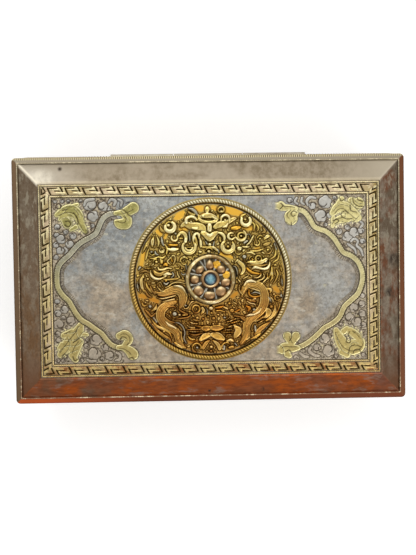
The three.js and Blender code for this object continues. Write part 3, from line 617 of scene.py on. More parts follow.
def tendril(sheet, x, y, radius, start, hand):
    """A small engraved scroll that winds round inside a circle."""
    if radius > 1.0:
        turn = math.radians(start + hand * 150)
        chase(sheet, [dot(x, y, radius * 0.75), dot(x + 0.6 * radius * math.cos(turn),
                                                    y + 0.6 * radius * math.sin(turn), radius * 0.4)], 0.0)
    turns = [math.radians(start + hand * angle) for angle in (0, 60, 120, 180, 240)]
    engrave(sheet, [(x + radius * reach * math.cos(turn), y + radius * reach * math.sin(turn))
                    for turn, reach in zip(turns, (0.2, 0.45, 0.62, 0.78, 0.95))], half=0.13, deep=0.06)


def scroll(sheet, *points):
    """A silver tendril."""
    chase(sheet, [list(points)], 0.0)


def fringe(sheet, line):
    """Short gilt strokes that curl off a leaf's edge, on both sides and towards its tip."""
    heading = np.gradient(line[:, :2], axis=0)
    heading /= np.hypot(*heading.T)[:, None]
    out = np.stack([-heading[:, 1], heading[:, 0]], axis=1)
    for i in range(2, len(line) - 1, 4):
        for side in (-1, 1):
            root = line[i, :2] + side * out[i] * line[i, 2] * 0.7
            tip = line[i, :2] + side * out[i] * (line[i, 2] + 0.8 + 0.3 * math.sin(i * 2.3)) + 0.7 * heading[i]
            near, depth, _, _, _ = near_line(sheet, [(*root, 0.3), (*tip, 0.16)])
            held = near[depth > -0.05]
            sheet.gilt[held] = np.maximum(sheet.gilt[held], 0.9)
            vein(sheet, [root, tip], half=0.15, rise=0.05)


def leaf(sheet, strokes, veins=(), cuts=()):
    """A gilt leaf: broad strokes with a painted highlight along the edge, veins and dark cuts. A corner leaf
    has a fringe too.
    """
    for points in strokes:
        if abs(points[0][0]) > FRINGED_FROM:
            fringe(sheet, flowing(points))
    chase(sheet, strokes, 1.0)
    for points in strokes:
        line = flowing(points)
        if len(line) > 12:
            engrave(sheet, beside(line, -0.3 * line[:, 2].mean())[2:-2], half=0.09, deep=0.03)
    for points in cuts:
        engrave(sheet, points, half=0.15, deep=0.06)
    for points in veins:
        engrave(sheet, points, half=0.08, deep=0.02)
        vein(sheet, beside(np.array(points), 0.16), half=0.1, rise=0.02)


# Silver forms, each with its function. A lobe has its place, its radius, the angle it starts at and its hand.
LEFT_SCROLLS = (
    # scrolls along the border, above and below the ribbon's middle
    (lobe, -66.4, 23.7, 1.35, 40, -1), (lobe, -67, 20, 1.4, 120), (lobe, -64.9, 18.5, 2.2, 100, -1),
    (lobe, -61.2, 16.3, 1.9, 20), (lobe, -67.1, 15.9, 1.4, -60), (lobe, -65.5, 13.6, 1.8, 160, -1),
    (lobe, -67.3, 10.6, 1.2, 60), (scroll, (-63.4, 14.6, 0.5), (-62.5, 13.4, 0.6), (-63.3, 11.9, 0.5)),
    (lobe, -67.2, -8.9, 1.2, 200), (lobe, -64.2, -12.3, 1.9, 60), (lobe, -67, -14.2, 1.6, 300, -1),
    (lobe, -61.6, -17.4, 2.1, 120), (lobe, -66.6, -18.9, 2.4, 20, -1), (lobe, -67.3, -23, 1.3, 90),
    (lobe, -67, -26, 1.2, 180),
    # silver scrolls between the corner leaf and the ribbon's head, above and below
    (lobe, -51.9, 33.2, 3, 20, -1), (scroll, (-54.6, 33, 0.6), (-53.6, 35, 0.8), (-50.4, 35.6, 0.7)),
    (lobe, -46.6, 32.4, 2.3, 140), (lobe, -51.1, 28.3, 2.6, 210, -1),
    (scroll, (-44, 34, 0.5), (-42.8, 35.4, 0.7), (-41, 34.6, 0.8), (-41.6, 32.8, 0.6)),
    (scroll, (-39.8, 35.4, 0.5), (-38.2, 34.4, 0.7), (-38.6, 32.6, 0.6)),
    (scroll, (-43.6, 32.2, 0.4), (-44, 30.8, 0.6), (-42.6, 31, 0.4)), (lobe, -50.7, -25.8, 2.7, 60),
    (lobe, -51.4, -31.8, 3, 150, -1), (scroll, (-54.6, -34.6, 0.5), (-53, -35.4, 0.7), (-50.8, -35.2, 0.6)),
    (lobe, -46.6, -29.2, 1.7, 20), (lobe, -44.6, -33, 2.2, 80, -1),
    (scroll, (-41.8, -31.8, 0.5), (-40.2, -32.6, 0.7), (-40.4, -34.6, 0.7), (-42.2, -35.2, 0.5)),
)


def chase_left_end(sheet):
    """The left end: scrolls first, and the corner leaves over them."""
    for draw, *form in LEFT_SCROLLS:
        draw(sheet, *form)
    # corner leaf above
    leaf(sheet, [[(-66.6, 29, 1.2), (-63.4, 30.4, 2.4), (-60.4, 30.6, 3), (-57.6, 28.9, 2.5),
                  (-56.3, 25.6, 1.9), (-54.6, 22.2, 1.3), (-54.2, 21.4, 1.1)],
                 [(-63.6, 28, 1.8), (-62, 25.2, 2.3)], [(-65.6, 26.8, 0.7), (-64.6, 28.4, 1.2)],
                 [(-59.4, 32.6, 1.2), (-57.6, 33.4, 0.9)], [(-60.6, 22.4, 0.9), (-58.4, 23.6, 1.2)]],
         veins=[[(-66, 30.2), (-63.2, 32.2), (-60, 33), (-57.2, 31.4), (-55.2, 28.2), (-54.6, 25.4),
                 (-53.2, 22.8)], [(-64.4, 27.2), (-62.4, 27.6), (-60.4, 26.2), (-60, 24)],
                [(-61.9, 29.6), (-59.6, 28.4), (-58.2, 25.8), (-57, 23.2)],
                [(-65.2, 28.8), (-63.4, 29.8), (-62.4, 31.4)], [(-58.8, 31.4), (-57.2, 29.6), (-56.6, 27.6)]],
         cuts=[[(-63.2, 24.6), (-61.8, 23.6), (-60.6, 24.8), (-61.4, 26.2), (-62.8, 26)],
               [(-59.2, 29.8), (-57.8, 27.4), (-57.4, 24.8)], [(-64.2, 30.8), (-62, 31.4)],
               [(-55.3, 21), (-54.2, 20.5), (-53.3, 21.3), (-53.9, 22.3)]])
    engrave(sheet, [(-65.8 + 1.1 * math.cos(a), 32.7 + 1.1 * math.sin(a)) for a in np.linspace(0, 6.28, 13)])
    # corner leaf below
    leaf(sheet, [[(-57.2, -19.6, 1.6), (-58.6, -22.6, 2.6), (-61.4, -26, 3.1), (-63.8, -29.2, 2.6),
                  (-66.2, -32.2, 1.6)],
                 [(-57.4, -26.6, 1.6), (-59.6, -29.6, 2.4), (-60.6, -32.4, 2.2)],
                 [(-61, -22, 1.3), (-64.6, -23.8, 1.5)], [(-65.6, -27.4, 1), (-66.8, -29.2, 1)],
                 [(-60.2, -34, 1.5), (-59.6, -34.6, 1.4)], [(-56.2, -23.4, 1), (-54.4, -23.6, 0.9)]],
         veins=[[(-57.4, -19.6), (-60.2, -22.4), (-64.2, -23)], [(-56, -22.4), (-59.4, -25.6), (-64.8, -25.6)],
                [(-55.4, -25.4), (-59, -28.4), (-63.6, -28.4), (-66.8, -31)],
                [(-58.4, -30.2), (-61.8, -31.4), (-64.4, -34)], [(-59, -21), (-58.6, -24.2), (-56.2, -27)],
                [(-62.8, -24.6), (-62, -27.6), (-63.2, -30.6), (-65.8, -32.8)]],
         cuts=[[(-60.8, -33.2), (-60, -35), (-58.6, -34.2)], [(-57, -24.6), (-60.6, -27)],
               [(-65.6, -33.4), (-64.4, -32), (-63.2, -33), (-64, -34.2)]])


LEFT_RIBBON = [(-40.7, 29.4), (-43.6, 29.1), (-46.1, 27.6), (-47.5, 25.5), (-48.9, 22.3), (-50, 20.5),
               (-52.1, 19.1), (-55, 17.6), (-57.5, 15.9), (-59.6, 13.7), (-61.8, 11.2), (-64.3, 9.1),
               (-66.1, 6.9), (-66.9, 4.4), (-67.1, 1.6), (-67, -1.3), (-66.3, -3.8), (-64.3, -6.6),
               (-62.1, -8.8), (-60.7, -11.3), (-59.1, -14.1), (-56.8, -17), (-53.6, -19.1), (-50.7, -21.3),
               (-47.9, -23.4), (-45.7, -26.3), (-43.6, -28.4), (-40.7, -29.5), (-38.5, -29.6)]
RIGHT_RIBBON = [(37.4, 30.3), (41.3, 29.1), (43.8, 26.2), (45.9, 22.6), (48.4, 21.2), (51.3, 20.1),
                (54.5, 17.3), (56.6, 14.1), (58.8, 10.9), (62, 9.4), (64.9, 6.9), (66.6, 3.4), (67.1, 0.1),
                (66.6, -3.4), (64.9, -7.4), (62, -10.2), (59.5, -12.4), (58.4, -14.1), (56.6, -17.7),
                (53.8, -20.2), (49.9, -22.4), (47.7, -24.5), (44.9, -27), (41.3, -29.5), (37.7, -31)]


def chase_left_heads(sheet):
    """The two ruyi heads in which the left ribbon ends."""
    leaf(sheet, [[(-41, 29.4, 1), (-38.2, 29.6, 1.5), (-35.4, 30.4, 2.3), (-33.2, 31.6, 2.6)],
                 [(-37.8, 29, 1.3), (-36, 27.2, 1.9), (-36.6, 24.9, 2.6), (-39.2, 24.7, 2.2),
                  (-41, 25.8, 0.9)]], veins=[[(-41, 23), (-38.4, 22.3), (-35.4, 22.4), (-33.6, 23.8)],
                                             [(-35, 28.4), (-32.4, 28.4), (-31, 29.6)],
                                             [(-38.8, 30.8), (-37.2, 28.8), (-35.6, 26)]],
         cuts=[[(-39.4, 31.4), (-37, 30.4), (-35, 28.3), (-33.8, 27.6)], [(-36.4, 33.6), (-34.8, 34.2)]])
    leaf(sheet, [[(-41, -29.5, 1.1), (-38.4, -29.6, 1.5), (-36, -31, 2.2), (-34.6, -32.6, 2.6)],
                 [(-38, -28.6, 1.4), (-36.2, -26.2, 2), (-37.6, -24.2, 2.4), (-40.2, -24.4, 1.8)]],
         veins=[[(-41.2, -23), (-38.6, -21.6), (-36, -22.4), (-34.6, -24.8)],
                [(-40.6, -26.6), (-39, -25.6), (-37.4, -26.4)], [(-33.2, -29.8), (-31.8, -31.6), (-32.2, -34)]],
         cuts=[[(-37.2, -25.4), (-38.8, -24.8), (-40, -25.8)], [(-35.2, -28.4), (-33.4, -28.6)],
               [(-36.2, -34.4), (-34.8, -34), (-34, -35)]])


def chase_right_heads(sheet):
    """The two ruyi heads in which the right ribbon ends."""
    leaf(sheet, [[(38, 30.3, 1.1), (35.4, 30.8, 1.3), (33, 30.9, 1.6), (31.4, 31.6, 2.1)],
                 [(36.6, 29.8, 1.2), (34.6, 27.6, 1.6), (35.9, 26, 2.9)], [(37.6, 27.6, 1.3), (38.2, 28.4, 1)]],
         veins=[[(30.6, 33.2), (32.4, 32.2), (33.4, 30.8)], [(33.6, 24.6), (35.8, 23.4), (38, 25.2)]],
         cuts=[[(38.4, 28.6), (37, 29.3), (35.8, 28.2), (36.6, 27), (37.6, 27.4)], [(35.9, 22.9), (35.9, 24.2)],
               [(31, 30.2), (32.2, 31.6), (31.4, 32.8)]])
    leaf(sheet, [[(38.4, -31, 1.1), (35.6, -31, 1.9), (32.4, -30.8, 2.4), (31.2, -31.8, 1.9)],
                 [(35.6, -29.6, 1.4), (33.6, -25.6, 2)], [(35.8, -28.2, 1.6), (37.4, -25.6, 2)],
                 [(33.4, -33.6, 1.6), (34.4, -34.4, 1.2)]],
         veins=[[(32.2, -26.4), (32.6, -24.2), (34.4, -23.8)], [(36.4, -23.8), (38.6, -24), (38.9, -26.2)],
                [(30.4, -29.4), (31.8, -31.4), (31.6, -33.4)]],
         cuts=[[(35.4, -23.6), (35.4, -26.2), (34.6, -27.6)], [(37.4, -28), (38.6, -29.2)],
               [(32.6, -32.6), (34.2, -31.8), (35.2, -32.8)]])


RIGHT_SCROLLS = (
    # scrolls along the border, above and below the ribbon's middle
    (lobe, 60.4, 18, 2.4, 60), (lobe, 63.6, 19.9, 2.3, 130, -1), (lobe, 66.6, 20.2, 1.5, 220),
    (scroll, (62, 15.6, 0.5), (63.6, 16.8, 0.6), (65.2, 15.6, 0.6), (64.6, 13.8, 0.6), (66.4, 12, 0.7),
     (67.3, 9.4, 0.5)),
    (scroll, (60.6, 14.6, 0.5), (62, 13.6, 0.7), (63.8, 12, 0.6), (64.2, 10.4, 0.5)),
    (lobe, 67.2, 15.6, 1.3, 200), (scroll, (66, 24.6, 0.6), (67.4, 23.2, 0.6), (66.4, 21.8, 0.6)),
    (lobe, 66.9, -8.2, 1.2, 60), (lobe, 63.3, -13.6, 2.1, 40, -1), (lobe, 66.5, -12, 1.6, 110),
    (lobe, 61, -17.8, 2.1, 150), (lobe, 66.6, -16.2, 1.7, 260, -1), (lobe, 64.3, -19.6, 2.3, 20),
    (lobe, 67.2, -21, 1.3, 90),
    # silver scrolls between the corner leaf and the ribbon's head, above and below
    (lobe, 50.6, 33, 3.1, 150), (lobe, 49.1, 27.2, 2.9, 100, -1), (lobe, 45.2, 31.6, 1.7, 20),
    (lobe, 52.6, 27.4, 1.4, 200, -1),
    (scroll, (43.2, 31.8, 0.5), (42.8, 33.6, 0.7), (44.4, 35.2, 0.7), (46.6, 34.8, 0.6)),
    (scroll, (41.6, 32.2, 0.5), (40.4, 33.2, 0.6), (40.8, 35, 0.6)),
    (scroll, (38.8, 32.4, 0.5), (37.6, 33.4, 0.6), (38.4, 35, 0.6)), (lobe, 35.4, 33.9, 1.3, 200),
    (lobe, 50, -26.8, 2.4, 60), (lobe, 51.8, -32.2, 2.8, 130, -1), (lobe, 46.6, -31, 1.7, 200),
    (scroll, (47.6, -34.6, 0.5), (45.4, -34.2, 0.8), (43.2, -32.4, 0.8), (44, -30.6, 0.5)),
    (scroll, (42.8, -35, 0.5), (40.8, -34.6, 0.8), (39.2, -33.4, 0.7)),
    (scroll, (38.6, -35.4, 0.4), (37.2, -34.6, 0.6), (36.4, -35.4, 0.4)),
)


def chase_right_end(sheet):
    """The right end: scrolls first, and the corner leaves over them."""
    for draw, *form in RIGHT_SCROLLS:
        draw(sheet, *form)
    # corner leaf above, with the fan behind it
    leaf(sheet, [[(65.8, 32.2, 2.5), (65.6, 32.6, 2.4)], [(62.6, 33.2, 2), (64, 31, 2.4)]],
         veins=[[(62.2, 34.6), (62.6, 32), (64.8, 30.2), (67.2, 30)],
                [(64, 34.8), (64.4, 33.2), (65.8, 32.2), (67.6, 32)]],
         cuts=[[(63.1, 34.8), (63.4, 32.6), (65.3, 31.1), (67.6, 30.9)],
               [(65, 34.8), (65.4, 33.8), (67.6, 33.2)]])
    leaf(sheet, [[(54.2, 28.2, 1.5), (56.4, 30.4, 2.3), (59.2, 30.6, 2.8), (62, 28.4, 2.8), (64, 26.6, 2.5),
                  (65.4, 26, 1.6)], [(60.4, 26, 2.2), (57.4, 25.4, 1.8), (55, 24.2, 1.3), (54, 22.4, 0.9)],
                 [(56.8, 32.4, 1.3), (58.2, 34.2, 1.4)], [(54.4, 26.2, 1), (53.8, 24.6, 0.7)]],
         veins=[[(54.6, 29.6), (57.4, 31.8), (60.4, 31.4), (62.4, 30.2)],
                [(65.8, 26.8), (63.6, 24.6), (60.8, 23.9), (58, 24.4)],
                [(58.2, 28.8), (59.8, 28), (59.6, 26.4)]],
         cuts=[[(60.9, 28), (59.6, 29), (58, 28.2), (58.2, 26.6), (60, 25.6), (62.6, 25.6)],
               [(57.2, 34.8), (58, 33.4), (59.4, 34.2)], [(54.2, 24.8), (56, 25.6), (56.6, 24.4), (55.2, 23.4)],
               [(61.8, 31.6), (62.2, 29.2), (64.6, 28.4)]])
    # corner leaf below
    leaf(sheet, [[(55.2, -23.4, 1.4), (56.6, -27, 2.4), (58.6, -30.2, 2.9), (62, -32, 2.6), (65.4, -31, 2.2),
                  (66.6, -28.4, 1.5)], [(65.8, -28, 1.4), (63.8, -25.6, 2), (61.4, -23.8, 1.8)],
                 [(58.4, -24, 1.5), (60, -22.6, 1.2)], [(62.4, -29.6, 2.2), (64, -29.2, 1.8)],
                 [(57.4, -33.2, 1.4), (60, -34.4, 1.4)]],
         veins=[[(55, -25), (56.2, -29), (58.2, -32.8), (62, -34.4)], [(63.6, -24), (66, -26), (67.2, -29)],
                [(61, -30.6), (62.8, -28.8), (65, -29.6)]],
         cuts=[[(58.6, -25.4), (59.8, -26.8), (59.6, -28.6), (61.2, -28.9), (61.4, -27.2), (60.4, -25.6),
                (61, -24.2)], [(60.6, -33.4), (61.2, -31), (63.4, -30), (66, -30.8)],
               [(62.6, -33.6), (63.2, -32.2), (65, -31.9), (66, -33.2)]])


def chase_panel(sheet):
    """Everything that is chased on the panel, the ground first and the ribbons with their heads on top."""
    for points, side in ((LEFT_RIBBON, -1), (RIGHT_RIBBON, 1)):
        route = sorted((y, x) for x, y in points)
        edge = np.interp(sheet.y, [y for y, _ in route], [x for _, x in route])
        beyond = (side * (sheet.x - edge) > 0) & (side * sheet.x > 35)
        sheet.matted[beyond] = 1.0
    chase_left_end(sheet)
    chase_right_end(sheet)
    ribbon(sheet, LEFT_RIBBON, inward=1)
    ribbon(sheet, RIGHT_RIBBON, inward=-1)
    chase_left_heads(sheet)
    chase_right_heads(sheet)
    bare = (sheet.matted > 0.9) & (sheet.cut < 0.2) & (sheet.gilt < 0.5) & (np.abs(sheet.y) < 35.9)
    bare &= np.abs(sheet.x) < 68.4
    for end in (-1, 1):
        pack_scrolls(sheet, bare & (end * sheet.x > 35), 0.62, 1.8, tendril)


def chased_panel():
    """The whole panel as one sheet: a fine grid where it is chased, a coarse one where it is plain."""
    low, high = (np.array(corner) * 1000 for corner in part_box("lid_panel"))
    fine = np.arange(CHASED_FROM, 68.9, CHASED_STEP)
    plain = np.arange(0, CHASED_FROM, PLAIN_STEP)
    half = np.concatenate([plain[1:], fine, [high[0]]])
    across = np.concatenate([-half[::-1], [0], half])
    inner = np.arange(CHASED_STEP / 2, 36.4, CHASED_STEP)
    up = np.concatenate([[-high[1]], -inner[::-1], inner, [high[1]]])
    piece, u, v = sheet_grid("chased_panel", len(across) - 1, len(up) - 1)
    x = across[np.rint(u * (len(across) - 1)).astype(int)]
    y = up[np.rint(v * (len(up) - 1)).astype(int)]
    sheet = Sheet(x, y)
    chase_panel(sheet)
    z = high[2] + np.clip(sheet.height, -0.25, 0.5)
    set_sheet(piece, x, y, z, cut=sheet.cut, gilt=sheet.gilt, matted=sheet.matted, shine=sheet.shine)
    close_below(low[2])
    bpy.ops.object.shade_smooth_by_angle(angle=math.radians(50))
    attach(piece, "lid")
    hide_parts("lid_panel")
    return piece


panel = chased_panel()
panel_metal, tree = new_material("parcel_gilt_silvered_copper")
values = {name: add_node(tree, "Attribute", attribute_name=name).outputs["Fac"]
          for name in ("cut", "gilt", "matted", "shine")}
place = add_node(tree, "TexCoord").outputs["Object"]
at_x, at_y, _ = add_node(tree, "SeparateXYZ", {0: place}).outputs
cool = blend(patchy(tree, 7.0, 0.38, 0.64, detail=7.0, rough=0.65, seed=1.1), "#888b8a", "#b6b6af")
cool = blend(between(at_x, -0.01, 0.03), cool, "#a7a29a", 0.5)
warm = blend(patchy(tree, 6.0, 0.38, 0.64, detail=7.0, rough=0.65, seed=4.1), "#998872", "#c3b198")
warmth = millimetres(tree, 24.0, detail=7.0, rough=0.68, seed=12.4)
warmth = add_node(tree, "Math", {0: warmth, 1: part_of(at_y, 4.0)}, operation="SUBTRACT").outputs[0]
field = blend(between(warmth, 0.43, 0.59), cool, warm, 0.9)
speckle = patchy(tree, 1.8, 0.46, 0.58, detail=6.0, rough=0.8, seed=3.6)
field = blend(speckle, field, "#726c61", 0.55)
streaks = patchy(tree, 1.3, 0.56, 0.68, detail=5.0, rough=0.7, stretch=(0.4, 0.8, 1.0), seed=2.0)
field = blend(streaks, field, "#cdc8b8", 0.55)
fleck = patchy(tree, 3.4, 0.64, 0.72, detail=5.0, seed=8.2)
field = blend(fleck, field, "#c6bfa0", 0.6)
matting = patchy(tree, 0.9, 0.40, 0.62, detail=2.0, seed=8.8)
ground = blend(matting, "#857764", "#b5a992")
sparks = patchy(tree, 1.3, 0.60, 0.66, detail=3.0, seed=5.5)
ground = blend(sparks, ground, "#cbbf8a", 0.55)
colour = blend(values["matted"], field, ground)
# The right end's gold is lighter than the left's, partly in its own tone and partly as painted light from the
# upper right; both ends turn browner low down.
left_gold = blend(patchy(tree, 6.0, 0.4, 0.62, detail=6.0, rough=0.65, seed=6.6), "#8c864f", "#b5ab6b")
right_gold = blend(patchy(tree, 6.0, 0.4, 0.64, detail=5.0, seed=9.6), "#c0b378", "#e6da9c")
right_gold = blend(between(at_y, 0.005, -0.020), right_gold, "#b5a267")
left_gold = blend(between(at_y, 0.005, -0.020), left_gold, "#b3a066")
gold = blend(between(at_x, -0.01, 0.01), left_gold, right_gold)
grain = patchy(tree, 1.3, 0.50, 0.62, detail=5.0, rough=0.75, seed=7.9)
gold = blend(grain, gold, "#766c3b", 0.5)
flecked = patchy(tree, 1.2, 0.58, 0.68, detail=3.0, seed=2.7)
gold = blend(flecked, gold, "#ddd08a", 0.45)
colour = blend(values["gilt"], colour, gold)
# Painted highlights: where the shine value holds, the colour turns to a pale glint, lighter on the right end
# than on the left and browner low down.
silver_glint = blend(between(at_x, -0.01, 0.02), "#bab4a6", "#e2dfd4")
silver_glint = blend(between(at_y, 0.005, -0.020), silver_glint, "#b3a896")
glint = blend(values["gilt"], silver_glint, "#f6edb4")
colour = blend(values["shine"], colour, glint, 0.85)
colour = blend(values["cut"], colour, "#33271a", 0.95)
colour = copper_below(tree, colour)
roughness = add_node(tree, "MapRange", {0: values["matted"], 3: 0.36, 4: 0.5})
scratches = millimetres(tree, 1.6, detail=2.0, stretch=(0.16, 1.0, 1.0), seed=2.0)
punched = part_of(part_of(matting, values["matted"]), 1.4)
bump = add_node(tree, "Math", {0: scratches, 1: punched}, operation="ADD").outputs[0]
finish_metal(tree, colour, roughness.outputs[0], bump, 0.05)
panel.data.materials.append(panel_metal)


# Border: three strips of gilt copper soldered round the panel: a milled wire outside, a band with a slanting
# key fret punched into it, and a line of fine beads inside. The gilding is tan at the back and the left, yellow
# at the right, and worn to red-brown along the front.
ALONG_STEP = 0.2
MILLING_PITCH = 0.85


def frame_strip(name, node, width, across_step):
    """A strip that runs round the panel in the place of its node, mitred at the corners.

    Returns the piece and, for each of its points, its place, the side it is on, its distance along that side
    from the side's middle, from the nearest mitre and in from the strip's outer edge."""
    low, high = (np.array(corner) * 1000 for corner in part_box(node))
    half_long, half_short, bottom = high[0], high[1], low[2]
    counts = [int(2 * half / ALONG_STEP / 2) * 2 for half in (half_long, half_short)] * 2
    across = max(2, int(round(width / across_step)))
    piece, u, v = sheet_grid(name, sum(counts), across)
    column = np.rint(u * sum(counts)).astype(int)
    starts = np.concatenate([[0], np.cumsum(counts)])
    side = np.clip(np.searchsorted(starts, column, side="right") - 1, 0, 3)
    share = (column - starts[side]) / np.array(counts)[side] * 2 - 1
    inset = v * width
    half_side = np.array([half_long, half_short] * 2)[side] - inset
    along = share * half_side
    outward = np.array([half_short, half_long] * 2)[side] - inset
    turn = np.array([0, -math.pi / 2, math.pi, math.pi / 2])[side]
    x = along * np.cos(turn) - outward * np.sin(turn)
    y = along * np.sin(turn) + outward * np.cos(turn)
    return piece, x, y, side, along, half_side - np.abs(along), inset, bottom, high[2]


def finish_strip(piece, node, x, y, z, bottom, **layers):
    set_sheet(piece, x, y, z, **layers)
    close_below(bottom, loops=2)
    bpy.ops.object.shade_smooth_by_angle(angle=math.radians(50))
    piece.data.materials.append(border_gilding)
    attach(piece, "lid")
    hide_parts(node)


border_gilding, tree = new_material("fire_gilt_border")
cut_value = add_node(tree, "Attribute", attribute_name="cut").outputs["Fac"]
shine_value = add_node(tree, "Attribute", attribute_name="shine").outputs["Fac"]
place = add_node(tree, "TexCoord").outputs["Object"]
at_x, at_y, _ = add_node(tree, "SeparateXYZ", {0: place}).outputs
back = blend(patchy(tree, 9.0, 0.40, 0.60, seed=2.4), "#b29e70", "#cdb796")
left = blend(patchy(tree, 8.0, 0.42, 0.60, seed=6.1), "#88765a", "#9d8864")
right = blend(patchy(tree, 5.0, 0.42, 0.62, seed=8.4), "#97814f", "#b4a071")
front = blend(patchy(tree, 7.0, 0.42, 0.60, detail=5.0, seed=5.5), "#8d6038", "#b09a6c")
colour = blend(between(at_x, -0.0745, -0.0705), left, back)
colour = blend(between(at_x, 0.0700, 0.0730), colour, right)
colour = blend(between(at_y, -0.0360, -0.0380), colour, front)
# Painted highlights: the crowns of the milled wire and the beads and the fret's ridges turn pale, paler towards
# the back.
pale = blend(between(at_y, -0.030, 0.030), "#cdb474", "#e6dbac")
colour = blend(shine_value, colour, pale, 0.85)
flecks = patchy(tree, 1.8, 0.58, 0.68, detail=3.0, seed=1.7)
colour = blend(flecks, colour, pale, 0.7)
grime = patchy(tree, 2.4, 0.55, 0.72, detail=5.0, seed=3.3)
colour = blend(grime, colour, "#5b4226", 0.6)
colour = blend(between(cut_value, 0.15, 0.9), colour, "#33270f")
roughness = add_node(tree, "MapRange", {0: cut_value, 3: 0.34, 4: 0.6})
finish_metal(tree, colour, roughness.outputs[0], millimetres(tree, 0.9, seed=6.0), 0.04)

OUTER_WIRE = 0.8
strip, x, y, side, along, corner, inset, bottom, top = frame_strip("milled_line", "border_outer_lines",
                                                                   OUTER_WIRE, 0.1)
rail = np.sqrt(np.clip(1 - ((inset - 0.36) / 0.36) ** 2, 0, 1))
milling = 1 - 0.35 * np.cos(math.pi * corner / MILLING_PITCH) ** 8
z = bottom + 0.1 + (top - bottom - 0.12) * rail * milling
finish_strip(strip, "border_outer_lines", x, y, np.minimum(z, top), bottom,
             cut=np.clip(1.2 - 1.5 * rail * milling, 0, 1), shine=0.75 * rail ** 3 * milling ** 2)

FRET_BAND = 3.55
# Pitch of the keys on each side, and the middle of its first key.
FRET_UNITS = ((7.6, -70.8), (6.3, -37.6), (7.9, -65.6), (7.5, -37.4))
# The strokes of one key: function, half width, height, and both ends as distance along and across the band.
FRET_LINES = ((vein, 0.3, 0.12, (-2.4, 0.1), (-0.6, 3.4)), (vein, 0.2, 0.08, (-5.6, 1.1), (-1.6, 1.15)),
              (vein, 0.2, 0.08, (0.4, 2.7), (-3.4, 2.6)), (engrave, 0.14, 0.3, (-4.2, 1.75), (-0.8, 1.85)),
              (engrave, 0.21, 0.4, (-0.7, 1.95), (-1.7, 0.1)), (engrave, 0.14, 0.3, (4.3, 0.55), (0.5, 0.6)),
              (engrave, 0.21, 0.4, (0.4, 0.6), (1.75, 3.4)))
strip, x, y, side, along, corner, inset, bottom, top = frame_strip("key_fret", "fret_border", FRET_BAND, 0.13)
fret = Sheet(along + 1000 * side, inset)
for number, (pitch, first) in enumerate(FRET_UNITS):
    for middle in np.arange(first, along[side == number].max() - 1.0, pitch):
        for draw, half, lift, (first_run, first_down), (last_run, last_down) in FRET_LINES:
            draw(fret, [(1000 * number + middle + first_run * pitch / 7.6, first_down),
                        (1000 * number + middle + last_run * pitch / 7.6, last_down)], half, lift)
edges = np.clip(1 - np.minimum(inset, FRET_BAND - inset) / 0.22, 0, 1)
clear = np.clip(corner / 0.35, 0, 1)
z = np.clip(top - 0.06 + clear * fret.height - 0.15 * edges, bottom + 0.04, top)
finish_strip(strip, "fret_border", x, y, z, bottom, cut=np.maximum(clear * fret.cut, edges * 0.75),
             shine=clear * fret.shine * 0.9)

INNER_BEADS = 1.2
strip, x, y, side, along, corner, inset, bottom, top = frame_strip("bead_line", "border_inner_lines",
                                                                   INNER_BEADS, 0.12)
bead_row = np.abs(np.sin(math.pi * corner / MILLING_PITCH)) ** 0.7
across = np.sqrt(np.clip(1 - ((inset - 0.46) / 0.44) ** 2, 0, 1))
beads = (0.55 + 0.45 * bead_row) * across
thin = np.exp(-((inset - 1.08) / 0.1) ** 2) * 0.4
z = bottom + 0.1 + (top - bottom - 0.1) * np.maximum(beads, thin)
finish_strip(strip, "border_inner_lines", x, y, z, bottom,
             cut=np.clip(1.15 - 1.4 * np.maximum(beads, thin), 0, 1),
             shine=0.85 * beads ** 3)


# Medallion: a roundel of sheet copper, raised from behind, chased from the front and fire-gilt. Two dragons
# face a small wheel under a jewel on its cloud throne. It gives the eye thick yellow gold in the hollows, brown
# copper on the lower bodies, near-black outlines round every form, painted shade in the deeper hollows, and
# painted highlights in pale cream on the high points and along the edges of forms.
ROUNDEL_OUTER = 32.7
ROUNDEL_INNER = 11.1
GROUND_RISE = 0.5
# A PALE form is painted cream as a highlight on the high points.
BROWN, GOLD, PALE, SILVER, GILT = 0.12, 0.5, 0.7, 2.0, 3.0


def curl(x, y, radius, turns, start, hand, width):
    """A scroll that winds out from its eye to its radius."""
    count = int(turns * 10)
    angles = [math.radians(start) + hand * 2 * math.pi * turns * i / count for i in range(count + 1)]
    return [(x + radius * (0.18 + 0.82 * i / count) * math.cos(a), y + radius * (0.18 + 0.82 * i / count)
             * math.sin(a), width * (0.6 + 0.4 * i / count)) for i, a in enumerate(angles)]


def arc(x, y, radius, start, finish, width):
    """Part of a ring, from one angle to another."""
    count = max(3, int(abs(finish - start) / 30))
    return [(x + radius * math.cos(math.radians(start + (finish - start) * i / count)),
             y + radius * math.sin(math.radians(start + (finish - start) * i / count)),
             width * (0.7 + 0.3 * math.sin(math.pi * i / count))) for i in range(count + 1)]


def gild_ground(sheet, points):
    """Thick gilding on the ground, with a soft edge."""
    near, depth, _, _, _ = near_line(sheet, points)
    spread = np.clip(depth / 0.3 + 0.6, 0, 1) * (sheet.height[near] < 0.25)
    sheet.gilt[near] = np.maximum(sheet.gilt[near], spread)


